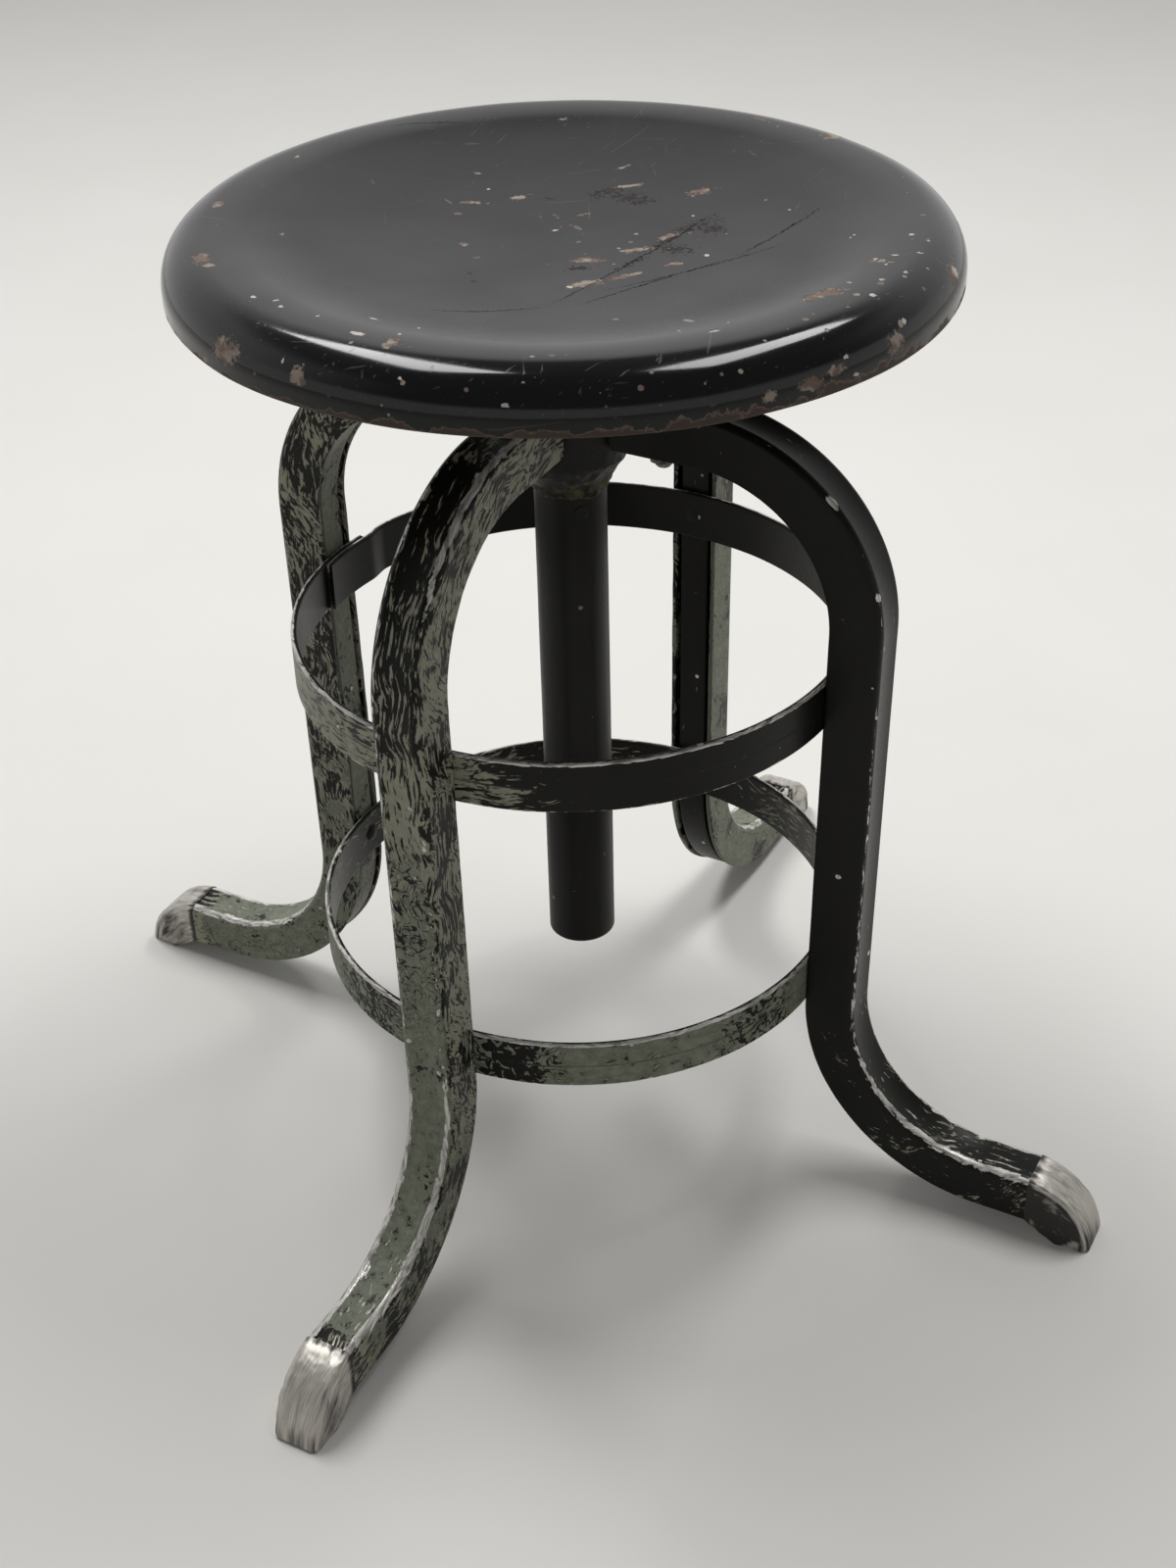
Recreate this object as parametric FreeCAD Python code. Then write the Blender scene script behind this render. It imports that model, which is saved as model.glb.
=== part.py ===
"""Round metal stool whose seat screws up and down on four bent channel legs.

The floor is z = 0 and the seat turns about the Z axis. Front is -Y, left is -X.
Each leg is drawn in the XZ plane, running out along +X, and then turned to its azimuth.
"""

import math
import os

import FreeCAD
import Part

V = FreeCAD.Vector
UP = V(0, 0, 1)
ACROSS = V(0, 1, 0)

# Seat pan
SEAT_RADIUS = 178.0
SEAT_SIDE_HEIGHT = 25.0
SEAT_SHEET = 2.0
RIM_RADIUS = 19.0
DISH_DEPTH = 14.0
DISH_BLEND_RADIUS = 110.0

# Leg channel and its path; the inside radii are those of its inner edges at the two bands
LEG_TOP = 423.4
LEG_INSIDE_RADIUS = 138.8
LEG_TAPER = 2.4
LEG_WIDTH = 25.4
LEG_DEPTH = 25.4
LEG_WALL = 2.6
LEG_CORNER_RADIUS = 4.0
LEG_FACE_MARGIN = 3.9
LEG_FACE_SINK = 0.7
ARCH_RADIUS = 82.7
FOOT_BEND_RADIUS = 87.3
FOOT_UNDERSIDE = 10.0
FOOT_RUN = 25.7

# Liner that closes the inner side of each channel
LINER_SHEET = 2.0
LINER_GROOVE = 2.0
LINER_SETBACK = 0.8
LINER_START_GAP = 2.0

# Cast cap on the end of each leg
CAP_LENGTH = 35.0
CAP_PROUD = 0.3
CAP_CURVE_RADIUS = 39.7
CAP_SOLE_LENGTH = 18.0
CAP_TOE_BEVEL = 1.6
CAP_EDGE_RADIUS = 3.6
CAP_SPIGOT_LENGTH = 18.0

# Flat bands inside the legs
BAND_HEIGHT = 26.0
BAND_THICKNESS = 3.0
UPPER_BAND_DROP = 134.6
LOWER_BAND_MID = 123.4
LAP_ANGLE = 14.5
LAP_AZIMUTH = 134.3
BAND_RIVET_RADIUS = 3.0
BAND_RIVET_HEAD_RADIUS = 5.0
BAND_RIVET_HEAD_HEIGHT = 2.2
BAND_RIVET_TAIL_HEIGHT = 1.5

# Screw spindle; its thread is drawn as a plain rod of the outside radius
SPINDLE_RADIUS = 12.7
SPINDLE_FOOT_RISE = 32.0
SPINDLE_NECK_STEP = 2.7
SPINDLE_NECK_LENGTH = 32.0
FOOT_JOURNAL_STEP = 3.7
BUSH_LENGTH = 16.0
BUSH_END_PLAY = 0.15
WASHER_GAP = 2.5
WASHER_THICKNESS = 2.5
FOOT_SCREW_RADIUS = 3.9
FOOT_SCREW_LENGTH = 20.0
FOOT_SCREW_FLATS = 12.7
FOOT_SCREW_HEAD_HEIGHT = 5.0

# Hub casting and the bolts that hold the legs to its arms
HUB_RADIUS = 28.0
HUB_RISE = 16.6
HUB_DROP = 9.6
HUB_CHAMFER = 3.0
HUB_CONE_HEIGHT = 14.4
HUB_COLLAR_PROUD = 1.7
HUB_COLLAR_HEIGHT = 3.5
HUB_SPIGOT_WALL = 2.72
HUB_SPIGOT_LENGTH = 20.5
ARM_END_GAP = 4.7
ARM_SIDE_GAP = 0.1
LEG_BOLT_INSET = 14.5
LEG_BOLT_RADIUS = 3.9
LEG_BOLT_FLATS = 12.7
LEG_BOLT_HEAD_HEIGHT = 5.0
LEG_NUT_HEIGHT = 5.5
LEG_BOLT_END = 3.0

# Guard tube and the plugs that hold it on the hub's spigot
TUBE_LENGTH = 264.5
TUBE_WALL = 2.0
TUBE_PLUG_RADIUS = 3.4
TUBE_PLUG_LENGTH = 3.6
TUBE_PLUG_PROUD = 0.4
TUBE_PLUG_DROP = 8.0

# Seat flange under the pan, its cross pin and its studs
FLANGE_RADIUS = 62.0
FLANGE_HEIGHT = 45.6
FLANGE_EDGE = 9.0
FLANGE_CONE_RADIUS = 34.0
FLANGE_CONE_HEIGHT = 10.0
BOSS_WALL = 9.0
CROSS_PIN_RADIUS = 3.0
CROSS_PIN_RISE = 14.0
STUD_CIRCLE = 47.0
STUD_COUNT = 4
STUD_RADIUS = 3.0
STUD_END = 2.0
STUD_NUT_FLATS = 10.0
STUD_NUT_HEIGHT = 5.0

# Clearances
SEAT_STOP_GAP = 0.4
RUNNING_GAP = 0.06
HOLE_GAP = 0.15
PRESS_GAP = 0.02

LEGS = {"front_left": 225.0, "front_right": 315.0, "back_right": 45.0, "back_left": 135.0}
TUBE_PLUG_AZIMUTHS = (90.0, 270.0)
FIRST_STUD_AZIMUTH = 45.0

# Leg path, worked out from the sizes above
UPPER_BAND_MID = LEG_TOP - UPPER_BAND_DROP
BANDS = {"upper": UPPER_BAND_MID, "lower": LOWER_BAND_MID}
LEAN = math.atan(LEG_TAPER / (UPPER_BAND_MID - LOWER_BAND_MID))
ARCH_UNDERSIDE = LEG_TOP - LEG_DEPTH
FOOT_TOP = FOOT_UNDERSIDE + LEG_DEPTH
ARCH_HEIGHT = LEG_TOP - LEG_DEPTH / 2 - ARCH_RADIUS
FOOT_BEND_HEIGHT = FOOT_UNDERSIDE + LEG_DEPTH / 2 + FOOT_BEND_RADIUS


def leg_inside(height):
    """The radius of the leg's inner edges at a height on its straight run."""
    return LEG_INSIDE_RADIUS + (height - UPPER_BAND_MID) * math.tan(LEAN)


ARCH_REACH = leg_inside(ARCH_HEIGHT) + (LEG_DEPTH / 2 - ARCH_RADIUS) / math.cos(LEAN)
FOOT_BEND_REACH = leg_inside(FOOT_BEND_HEIGHT) + (LEG_DEPTH / 2 + FOOT_BEND_RADIUS) / math.cos(LEAN)
SEAM_REACH = FOOT_BEND_REACH + FOOT_RUN
ARM_REACH = ARCH_REACH - ARM_END_GAP
LEG_BOLT_REACH = ARM_REACH - LEG_BOLT_INSET

# Hub, tube and spindle, from the top of the legs and the spindle's radius
HUB_TOP = LEG_TOP + HUB_RISE
HUB_BOTTOM = ARCH_UNDERSIDE - HUB_DROP
COLLAR_TOP = HUB_BOTTOM - HUB_CONE_HEIGHT
COLLAR_BOTTOM = COLLAR_TOP - HUB_COLLAR_HEIGHT
SPIGOT_BOTTOM = COLLAR_BOTTOM - HUB_SPIGOT_LENGTH
SPIGOT_RADIUS = SPINDLE_RADIUS + RUNNING_GAP + HUB_SPIGOT_WALL
TUBE_BORE = SPIGOT_RADIUS + PRESS_GAP
TUBE_RADIUS = TUBE_BORE + TUBE_WALL
COLLAR_RADIUS = TUBE_RADIUS + HUB_COLLAR_PROUD
TUBE_BOTTOM = COLLAR_BOTTOM - TUBE_LENGTH
TUBE_PLUG_HEIGHT = COLLAR_BOTTOM - TUBE_PLUG_DROP
TUBE_PLUG_START = TUBE_RADIUS + TUBE_PLUG_PROUD - TUBE_PLUG_LENGTH
JOURNAL_TOP = TUBE_BOTTOM + SPINDLE_FOOT_RISE
JOURNAL_BOTTOM = JOURNAL_TOP - BUSH_LENGTH - 2 * BUSH_END_PLAY
JOURNAL_RADIUS = SPINDLE_RADIUS - FOOT_JOURNAL_STEP
NECK_RADIUS = SPINDLE_RADIUS - SPINDLE_NECK_STEP

# Flange and pan at the seat's lowest setting, from the top of the hub
BOSS_RADIUS = NECK_RADIUS + BOSS_WALL
BOSS_BOTTOM = HUB_TOP + SEAT_STOP_GAP
NECK_TOP = BOSS_BOTTOM + SPINDLE_NECK_LENGTH
PAN_UNDERSIDE = BOSS_BOTTOM + FLANGE_HEIGHT
PLATE_BOTTOM = PAN_UNDERSIDE - FLANGE_EDGE
DISH_LOW = PAN_UNDERSIDE + SEAT_SHEET
SEAT_TOP = DISH_LOW + DISH_DEPTH
SEAT_BOTTOM = SEAT_TOP - SEAT_SIDE_HEIGHT
CREST_RADIUS = SEAT_RADIUS - RIM_RADIUS


def point(radius, height):
    """A point in the XZ plane."""
    return V(radius, 0, height)


def line(start, end):
    """A straight edge between two (radius, height) points."""
    return Part.makeLine(point(*start), point(*end))


def arc(centre, radius, start, end):
    """An arc in the XZ plane. Angles are in radians from +X towards +Z."""
    angles = (start, (start + end) / 2, end)
    spots = [
        point(centre[0] + radius * math.cos(a), centre[1] + radius * math.sin(a)) for a in angles
    ]
    return Part.Arc(*spots).toShape()


def face_of(edges):
    """A flat face inside a closed loop of edges."""
    return Part.Face(Part.Wire(Part.__sortEdges__(edges)))


def polygon(corners):
    """A flat face in the XZ plane from (radius, height) corners."""
    return face_of([line(a, b) for a, b in zip(corners, corners[1:] + corners[:1])])


def turned(face, degrees=360.0):
    """The solid a face sweeps when it turns about the Z axis."""
    return face.revolve(V(0, 0, 0), UP, degrees)


def rod(radius, bottom, top, reach=0.0):
    """An upright cylinder whose axis is `reach` out along +X."""
    return Part.makeCylinder(radius, top - bottom, V(reach, 0, bottom))


def pipe(outer, inner, bottom, top):
    """An upright tube on the Z axis."""
    return rod(outer, bottom, top).cut(rod(inner, bottom, top))


def hexagon(flats, bottom, top, reach=0.0):
    """An upright hexagonal prism whose axis is `reach` out along +X."""
    corner = flats / math.sqrt(3)
    spots = [
        V(reach + corner * math.cos(math.radians(a)), corner * math.sin(math.radians(a)), bottom)
        for a in range(0, 420, 60)
    ]
    return Part.Face(Part.makePolygon(spots)).extrude(V(0, 0, top - bottom))


def at_azimuth(shape, azimuth):
    """A copy of the shape turned about the Z axis."""
    copy = shape.copy()
    copy.rotate(V(0, 0, 0), UP, azimuth)
    return copy


def save(name, shapes):
    """Write one node, which is one solid or a group of separate solids."""
    shapes = shapes if isinstance(shapes, list) else [shapes]
    solids = [solid for shape in shapes for solid in shape.Solids]
    shape = solids[0] if len(solids) == 1 else Part.Compound(solids)
    shape.exportStep(os.path.join("parts", name + ".step"))


def dish_profile(inset):
    """Edges of the pan's section from the axis to the skirt's foot, moved inwards by `inset`.

    A hollow sphere meets a rounded crest, then the rolled rim and the straight skirt.
    """
    span = (CREST_RADIUS**2 + DISH_DEPTH**2) / (2 * DISH_DEPTH)
    dish_radius = span - DISH_BLEND_RADIUS
    dish_centre = (0, DISH_LOW + dish_radius)
    blend_centre = (CREST_RADIUS, SEAT_TOP - DISH_BLEND_RADIUS)
    rim_centre = (CREST_RADIUS, SEAT_TOP - RIM_RADIUS)
    meeting = math.atan2(dish_centre[1] - blend_centre[1], -CREST_RADIUS)
    side = SEAT_RADIUS - inset
    return [
        arc(dish_centre, dish_radius + inset, -math.pi / 2, meeting - math.pi),
        arc(blend_centre, DISH_BLEND_RADIUS - inset, meeting, math.pi / 2),
        arc(rim_centre, RIM_RADIUS - inset, math.pi / 2, 0),
        line((side, rim_centre[1]), (side, SEAT_BOTTOM)),
    ]


def below_pan(shape):
    """The part of a shape that lies under the pan's lower face."""
    floor = min(BOSS_BOTTOM, SEAT_BOTTOM) - SEAT_SHEET
    side = SEAT_RADIUS - SEAT_SHEET
    edges = dish_profile(SEAT_SHEET) + [
        line((side, SEAT_BOTTOM), (side, floor)),
        line((side, floor), (0, floor)),
        line((0, floor), (0, PAN_UNDERSIDE)),
    ]
    return shape.common(turned(face_of(edges)))


def seat_pan():
    """The pressed dish with its rolled rim and skirt."""
    skirt_foot = line((SEAT_RADIUS, SEAT_BOTTOM), (SEAT_RADIUS - SEAT_SHEET, SEAT_BOTTOM))
    middle = line((0, DISH_LOW), (0, PAN_UNDERSIDE))
    return turned(face_of(dish_profile(0) + dish_profile(SEAT_SHEET) + [skirt_foot, middle]))


def rounded_slab(top, half_width, corner_radius):
    """A slab 1 mm thick on the plane x = 0, as deep as the arch, with its top corners rounded."""
    slab = Part.makeBox(1, 2 * half_width, top - ARCH_UNDERSIDE, V(0, -half_width, ARCH_UNDERSIDE))
    corners = [e for e in slab.Edges if e.BoundBox.XLength > 0.5 and e.BoundBox.ZMin > ARCH_UNDERSIDE]
    return slab.makeFillet(corner_radius, corners)


def channel_face():
    """The U of the outer channel on the plane x = 0, with its outer face a little sunk."""
    half, corner = LEG_WIDTH / 2, LEG_CORNER_RADIUS
    block = rounded_slab(LEG_TOP, half, corner)
    hollow = rounded_slab(LEG_TOP - LEG_WALL, half - LEG_WALL, corner - LEG_WALL)
    reach, sink = half - LEG_FACE_MARGIN, LEG_FACE_SINK
    roller_radius = (reach**2 + sink**2) / (2 * sink)
    roller_centre = V(0, 0, LEG_TOP - sink + roller_radius)
    roller = Part.makeCylinder(roller_radius, 1, roller_centre, V(1, 0, 0))
    section = block.cut(hollow).cut(roller)
    return next(f for f in section.Faces if f.BoundBox.XMax < 0.5)


def liner_face():
    """The U of the inner channel on the plane x = 0, open towards the outer channel's web."""
    half = LEG_WIDTH / 2 - LEG_WALL - LINER_GROOVE
    top, bottom = LEG_TOP - LEG_WALL, ARCH_UNDERSIDE + LINER_SETBACK
    inner_half, floor = half - LINER_SHEET, bottom + LINER_SHEET
    spots = [(-half, bottom), (half, bottom), (half, top), (inner_half, top), (inner_half, floor)]
    spots += [(-inner_half, floor), (-inner_half, top), (-half, top), (-half, bottom)]
    return Part.Face(Part.makePolygon([V(0, y, z) for y, z in spots]))


def swept_leg(face, start):
    """Carry a section from `start` over the arch, down the leg and out to the foot's seam."""
    arch, foot = point(ARCH_REACH, ARCH_HEIGHT), point(FOOT_BEND_REACH, FOOT_BEND_HEIGHT)
    turn = 90 + math.degrees(LEAN)
    overlap = (ARCH_RADIUS + FOOT_BEND_RADIUS) * math.sin(LEAN)
    straight = (ARCH_HEIGHT - FOOT_BEND_HEIGHT - overlap) / math.cos(LEAN)
    moves = [
        ("run", V(ARCH_REACH - start, 0, 0)),
        ("bend", arch, ACROSS),
        ("run", V(-math.sin(LEAN), 0, -math.cos(LEAN)) * straight),
        ("bend", foot, -ACROSS),
        ("run", V(FOOT_RUN, 0, 0)),
    ]
    face = face.copy()
    face.translate(V(start, 0, 0))
    pieces = []
    for kind, *where in moves:
        if kind == "run":
            pieces.append(face.extrude(*where))
            face.translate(*where)
        else:
            pieces.append(face.revolve(*where, turn))
            face.rotate(*where, turn)
    return pieces[0].fuse(pieces[1:]).removeSplitter()


def leg_rod(radius, middle, inside, outside):
    """A rod square to the leg's straight run at height `middle`, between two radii."""
    shape = Part.makeCylinder(radius, outside - inside, V(inside, 0, middle), V(1, 0, 0))
    shape.rotate(V(leg_inside(middle), 0, middle), ACROSS, math.degrees(LEAN))
    return shape


def leg_channel():
    """The outer channel, coped to the hub and drilled for its bolt."""
    shape = swept_leg(channel_face(), COLLAR_RADIUS)
    shape = shape.cut(rod(HUB_RADIUS + PRESS_GAP, HUB_BOTTOM, HUB_TOP))
    return shape.cut(rod(LEG_BOLT_RADIUS + HOLE_GAP, ARCH_UNDERSIDE, HUB_TOP, LEG_BOLT_REACH))


def leg_liner():
    """The inner channel, drilled for the band rivets."""
    shape = swept_leg(liner_face(), ARM_REACH + LINER_START_GAP)
    for middle in BANDS.values():
        inside = leg_inside(middle) - LEG_DEPTH / 2
        hole = leg_rod(BAND_RIVET_RADIUS + HOLE_GAP, middle, inside, inside + LEG_DEPTH)
        shape = shape.cut(hole)
    return shape


def foot_cap():
    """A cast end that runs on from the leg, curves down and stands on a flat sole."""
    heel = (SEAM_REACH, FOOT_TOP + CAP_PROUD)
    toe = (SEAM_REACH + CAP_LENGTH, CAP_TOE_BEVEL)
    chord = V(toe[0] - heel[0], 0, toe[1] - heel[1])
    sagitta = CAP_CURVE_RADIUS - math.sqrt(CAP_CURVE_RADIUS**2 - (chord.Length / 2) ** 2)
    crown = point(*heel) + chord / 2 + V(-chord.z, 0, chord.x).normalize() * sagitta
    curve = Part.Arc(point(*heel), crown, point(*toe)).toShape()
    sole_start, sole_end = (toe[0] - CAP_SOLE_LENGTH, 0), (toe[0] - CAP_TOE_BEVEL, 0)
    corners = [toe, sole_end, sole_start, (heel[0], FOOT_UNDERSIDE), heel]
    side = face_of([curve] + [line(a, b) for a, b in zip(corners, corners[1:])])
    half = LEG_WIDTH / 2 + CAP_PROUD
    side.translate(-ACROSS * half)
    body = side.extrude(ACROSS * 2 * half)
    shoulders = [e for e in body.Edges if e.Curve.TypeId == "Part::GeomCircle"]
    body = body.makeFillet(CAP_EDGE_RADIUS, shoulders)
    low = FOOT_UNDERSIDE + LINER_SETBACK + LINER_SHEET + PRESS_GAP
    high = FOOT_TOP - LEG_WALL - PRESS_GAP
    half = LEG_WIDTH / 2 - LEG_WALL - LINER_GROOVE - LINER_SHEET - PRESS_GAP
    start = V(heel[0] - CAP_SPIGOT_LENGTH, -half, low)
    spigot = Part.makeBox(CAP_SPIGOT_LENGTH + CAP_PROUD, 2 * half, high - low, start)
    return body.fuse(spigot).removeSplitter()


def band_radius(middle):
    """The outer radius of a band that bears on the inner corners of the four channels."""
    half_opening = LEG_WIDTH / 2 - LEG_WALL
    return math.hypot(leg_inside(middle - BAND_HEIGHT / 2), half_opening) - PRESS_GAP


def band(middle, lapped):
    """A flat band; the lapped one is doubled on its inner side where its ends meet."""
    bottom, top = middle - BAND_HEIGHT / 2, middle + BAND_HEIGHT / 2
    radius = band_radius(middle)
    inner = radius - BAND_THICKNESS
    shape = pipe(radius, inner, bottom, top)
    if lapped:
        deep, shared = inner - BAND_THICKNESS, radius - BAND_THICKNESS / 2
        corners = [(deep, bottom), (shared, bottom), (shared, top), (deep, top)]
        lap = at_azimuth(turned(polygon(corners), LAP_ANGLE), LAP_AZIMUTH - LAP_ANGLE / 2)
        shape = shape.fuse(lap).removeSplitter()
    for azimuth in LEGS.values():
        hole = leg_rod(BAND_RIVET_RADIUS + HOLE_GAP, middle, inner / 2, radius + LEG_DEPTH / 2)
        shape = shape.cut(at_azimuth(hole, azimuth))
    return shape


def band_rivets(middle, lapped):
    """One rivet at each leg: a domed head inside the band and a tail behind the liner."""
    tail = leg_inside(middle) + LINER_SETBACK + LINER_SHEET + PRESS_GAP
    head_radius, head_height = BAND_RIVET_HEAD_RADIUS, BAND_RIVET_HEAD_HEIGHT
    dome_radius = (head_radius**2 + head_height**2) / (2 * head_height)
    rivets = []
    for leg, azimuth in LEGS.items():
        layers = 2 if lapped and leg == "back_left" else 1
        seat = band_radius(middle) - layers * BAND_THICKNESS
        shank = leg_rod(BAND_RIVET_RADIUS, middle, seat - PRESS_GAP, tail)
        button = leg_rod(head_radius, middle, tail, tail + BAND_RIVET_TAIL_HEIGHT)
        dome = Part.makeSphere(dome_radius, V(seat - head_height + dome_radius, 0, middle))
        dome = dome.common(leg_rod(head_radius, middle, seat - 2 * head_height, seat + head_height))
        wall = pipe(seat + LEG_DEPTH, seat, middle - BAND_HEIGHT / 2, middle + BAND_HEIGHT / 2)
        rivet = dome.cut(wall).fuse([shank, button]).removeSplitter()
        rivets.append(at_azimuth(rivet, azimuth))
    return rivets


def hub_casting():
    """The barrel with its bore, four arms for the legs and a spigot for the guard tube."""
    bore = SPINDLE_RADIUS + RUNNING_GAP
    profile = [
        (bore, SPIGOT_BOTTOM),
        (SPIGOT_RADIUS, SPIGOT_BOTTOM),
        (SPIGOT_RADIUS, COLLAR_BOTTOM),
        (COLLAR_RADIUS, COLLAR_BOTTOM),
        (COLLAR_RADIUS, COLLAR_TOP),
        (HUB_RADIUS, HUB_BOTTOM),
        (HUB_RADIUS, HUB_TOP - HUB_CHAMFER),
        (HUB_RADIUS - HUB_CHAMFER, HUB_TOP),
        (bore, HUB_TOP),
    ]
    half = LEG_WIDTH / 2 - LEG_WALL - ARM_SIDE_GAP
    height = LEG_DEPTH - LEG_WALL - ARM_SIDE_GAP
    start = COLLAR_RADIUS
    arm = Part.makeBox(ARM_REACH - start, 2 * half, height, V(start, -half, ARCH_UNDERSIDE))
    top = arm.BoundBox.ZMax
    shoulders = [e for e in arm.Edges if e.BoundBox.ZMin > top - 1 and e.BoundBox.YLength < 1]
    arm = arm.makeFillet(LEG_CORNER_RADIUS - LEG_WALL, shoulders)
    arm = arm.cut(rod(LEG_BOLT_RADIUS + HOLE_GAP, HUB_BOTTOM, HUB_TOP, LEG_BOLT_REACH))
    arms = [at_azimuth(arm, azimuth) for azimuth in LEGS.values()]
    shape = turned(polygon(profile)).fuse(arms).removeSplitter()
    hole = plug_rod(TUBE_PLUG_START, TUBE_PLUG_RADIUS + PRESS_GAP)
    return shape.cut([at_azimuth(hole, azimuth) for azimuth in TUBE_PLUG_AZIMUTHS])


def plug_rod(start, radius):
    """A level rod from radius `start` to just beyond the guard tube."""
    length = TUBE_RADIUS + TUBE_PLUG_PROUD - start
    return Part.makeCylinder(radius, length, V(start, 0, TUBE_PLUG_HEIGHT), V(1, 0, 0))


def guard_tube():
    """The tube round the spindle, drilled for its plugs."""
    hole = plug_rod(TUBE_RADIUS / 2, TUBE_PLUG_RADIUS + PRESS_GAP)
    shape = pipe(TUBE_RADIUS, TUBE_BORE, TUBE_BOTTOM, COLLAR_BOTTOM)
    return shape.cut([at_azimuth(hole, azimuth) for azimuth in TUBE_PLUG_AZIMUTHS])


def tube_plugs():
    """The two plugs that hold the guard tube on the hub's spigot."""
    plug = plug_rod(TUBE_PLUG_START, TUBE_PLUG_RADIUS)
    return [at_azimuth(plug, azimuth) for azimuth in TUBE_PLUG_AZIMUTHS]


def leg_bolts(channel):
    """One bolt through each leg and arm, its head bedded on the leg's sunk outer face."""
    seat = LEG_TOP - LEG_FACE_SINK
    head = hexagon(LEG_BOLT_FLATS, seat, LEG_TOP + LEG_BOLT_HEAD_HEIGHT, LEG_BOLT_REACH)
    bottom = ARCH_UNDERSIDE - LEG_NUT_HEIGHT - LEG_BOLT_END
    shank = rod(LEG_BOLT_RADIUS, bottom, LEG_TOP, LEG_BOLT_REACH)
    bolt = head.cut(channel).fuse(shank).removeSplitter()
    return [at_azimuth(bolt, azimuth) for azimuth in LEGS.values()]


def leg_nuts():
    """The nut under each arm."""
    bottom = ARCH_UNDERSIDE - LEG_NUT_HEIGHT
    nut = hexagon(LEG_BOLT_FLATS, bottom, ARCH_UNDERSIDE, LEG_BOLT_REACH)
    nut = nut.cut(rod(LEG_BOLT_RADIUS + PRESS_GAP, bottom, ARCH_UNDERSIDE, LEG_BOLT_REACH))
    return [at_azimuth(nut, azimuth) for azimuth in LEGS.values()]


def cross_rod(radius):
    """A level rod through the flange's boss and the spindle's neck."""
    start = V(-BOSS_RADIUS, 0, BOSS_BOTTOM + CROSS_PIN_RISE)
    return Part.makeCylinder(radius, 2 * BOSS_RADIUS, start, V(1, 0, 0))


def spindle():
    """The screw: a neck for the flange at its top and a journal for the bush at its foot."""
    shape = rod(SPINDLE_RADIUS, JOURNAL_TOP, BOSS_BOTTOM)
    journal = rod(JOURNAL_RADIUS, JOURNAL_BOTTOM, JOURNAL_TOP)
    shape = shape.fuse([journal, rod(NECK_RADIUS, BOSS_BOTTOM, NECK_TOP)]).removeSplitter()
    screw_top = JOURNAL_BOTTOM + FOOT_SCREW_LENGTH
    screw_hole = rod(FOOT_SCREW_RADIUS + PRESS_GAP, JOURNAL_BOTTOM, screw_top)
    return shape.cut([screw_hole, cross_rod(CROSS_PIN_RADIUS + PRESS_GAP)])


def guide_bush():
    """The bush that steadies the spindle's foot and slides in the guard tube."""
    bottom = JOURNAL_BOTTOM + BUSH_END_PLAY
    return pipe(TUBE_BORE - RUNNING_GAP, JOURNAL_RADIUS + RUNNING_GAP, bottom, bottom + BUSH_LENGTH)


def foot_washer():
    """The washer that keeps the bush on the spindle."""
    bottom = JOURNAL_BOTTOM - WASHER_THICKNESS
    return pipe(TUBE_BORE - WASHER_GAP, FOOT_SCREW_RADIUS + HOLE_GAP, bottom, JOURNAL_BOTTOM)


def foot_screw():
    """The screw that clamps the washer on the spindle's end."""
    seat = JOURNAL_BOTTOM - WASHER_THICKNESS
    head = hexagon(FOOT_SCREW_FLATS, seat - FOOT_SCREW_HEAD_HEIGHT, seat)
    return head.fuse(rod(FOOT_SCREW_RADIUS, seat, seat + FOOT_SCREW_LENGTH)).removeSplitter()


def seat_flange():
    """The casting that carries the pan: a boss, a cone and a plate bedded under the dish."""
    profile = [
        (0, BOSS_BOTTOM),
        (BOSS_RADIUS, BOSS_BOTTOM),
        (BOSS_RADIUS, PLATE_BOTTOM - FLANGE_CONE_HEIGHT),
        (FLANGE_CONE_RADIUS, PLATE_BOTTOM),
        (FLANGE_RADIUS, PLATE_BOTTOM),
        (FLANGE_RADIUS, SEAT_TOP),
        (0, SEAT_TOP),
    ]
    neck_hole = rod(NECK_RADIUS + PRESS_GAP, BOSS_BOTTOM, NECK_TOP + PRESS_GAP)
    stud_hole = rod(STUD_RADIUS + HOLE_GAP, BOSS_BOTTOM, SEAT_TOP, STUD_CIRCLE)
    holes = [neck_hole, cross_rod(CROSS_PIN_RADIUS + PRESS_GAP)] + on_stud_circle(stud_hole)
    return below_pan(turned(polygon(profile))).cut(holes)


def on_stud_circle(shape):
    """Evenly spaced copies of a shape, in line with the legs at rest."""
    step = 360 / STUD_COUNT
    return [at_azimuth(shape, FIRST_STUD_AZIMUTH + step * i) for i in range(STUD_COUNT)]


def seat_studs():
    """Studs welded under the pan."""
    bottom = PLATE_BOTTOM - STUD_NUT_HEIGHT - STUD_END
    return on_stud_circle(below_pan(rod(STUD_RADIUS, bottom, SEAT_TOP, STUD_CIRCLE)))


def stud_nuts():
    """The nut on each stud."""
    bottom = PLATE_BOTTOM - STUD_NUT_HEIGHT
    nut = hexagon(STUD_NUT_FLATS, bottom, PLATE_BOTTOM, STUD_CIRCLE)
    return on_stud_circle(nut.cut(rod(STUD_RADIUS + PRESS_GAP, bottom, PLATE_BOTTOM, STUD_CIRCLE)))


os.makedirs("parts", exist_ok=True)

channel = leg_channel()
liner = leg_liner()
cap = foot_cap()
for leg, azimuth in LEGS.items():
    save(leg + "_leg_channel", at_azimuth(channel, azimuth))
    save(leg + "_leg_liner", at_azimuth(liner, azimuth))
    save(leg + "_foot_cap", at_azimuth(cap, azimuth))

for name, middle in BANDS.items():
    lapped = name == "upper"
    save(name + "_ring", band(middle, lapped))
    save(name + "_ring_rivets", band_rivets(middle, lapped))

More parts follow.
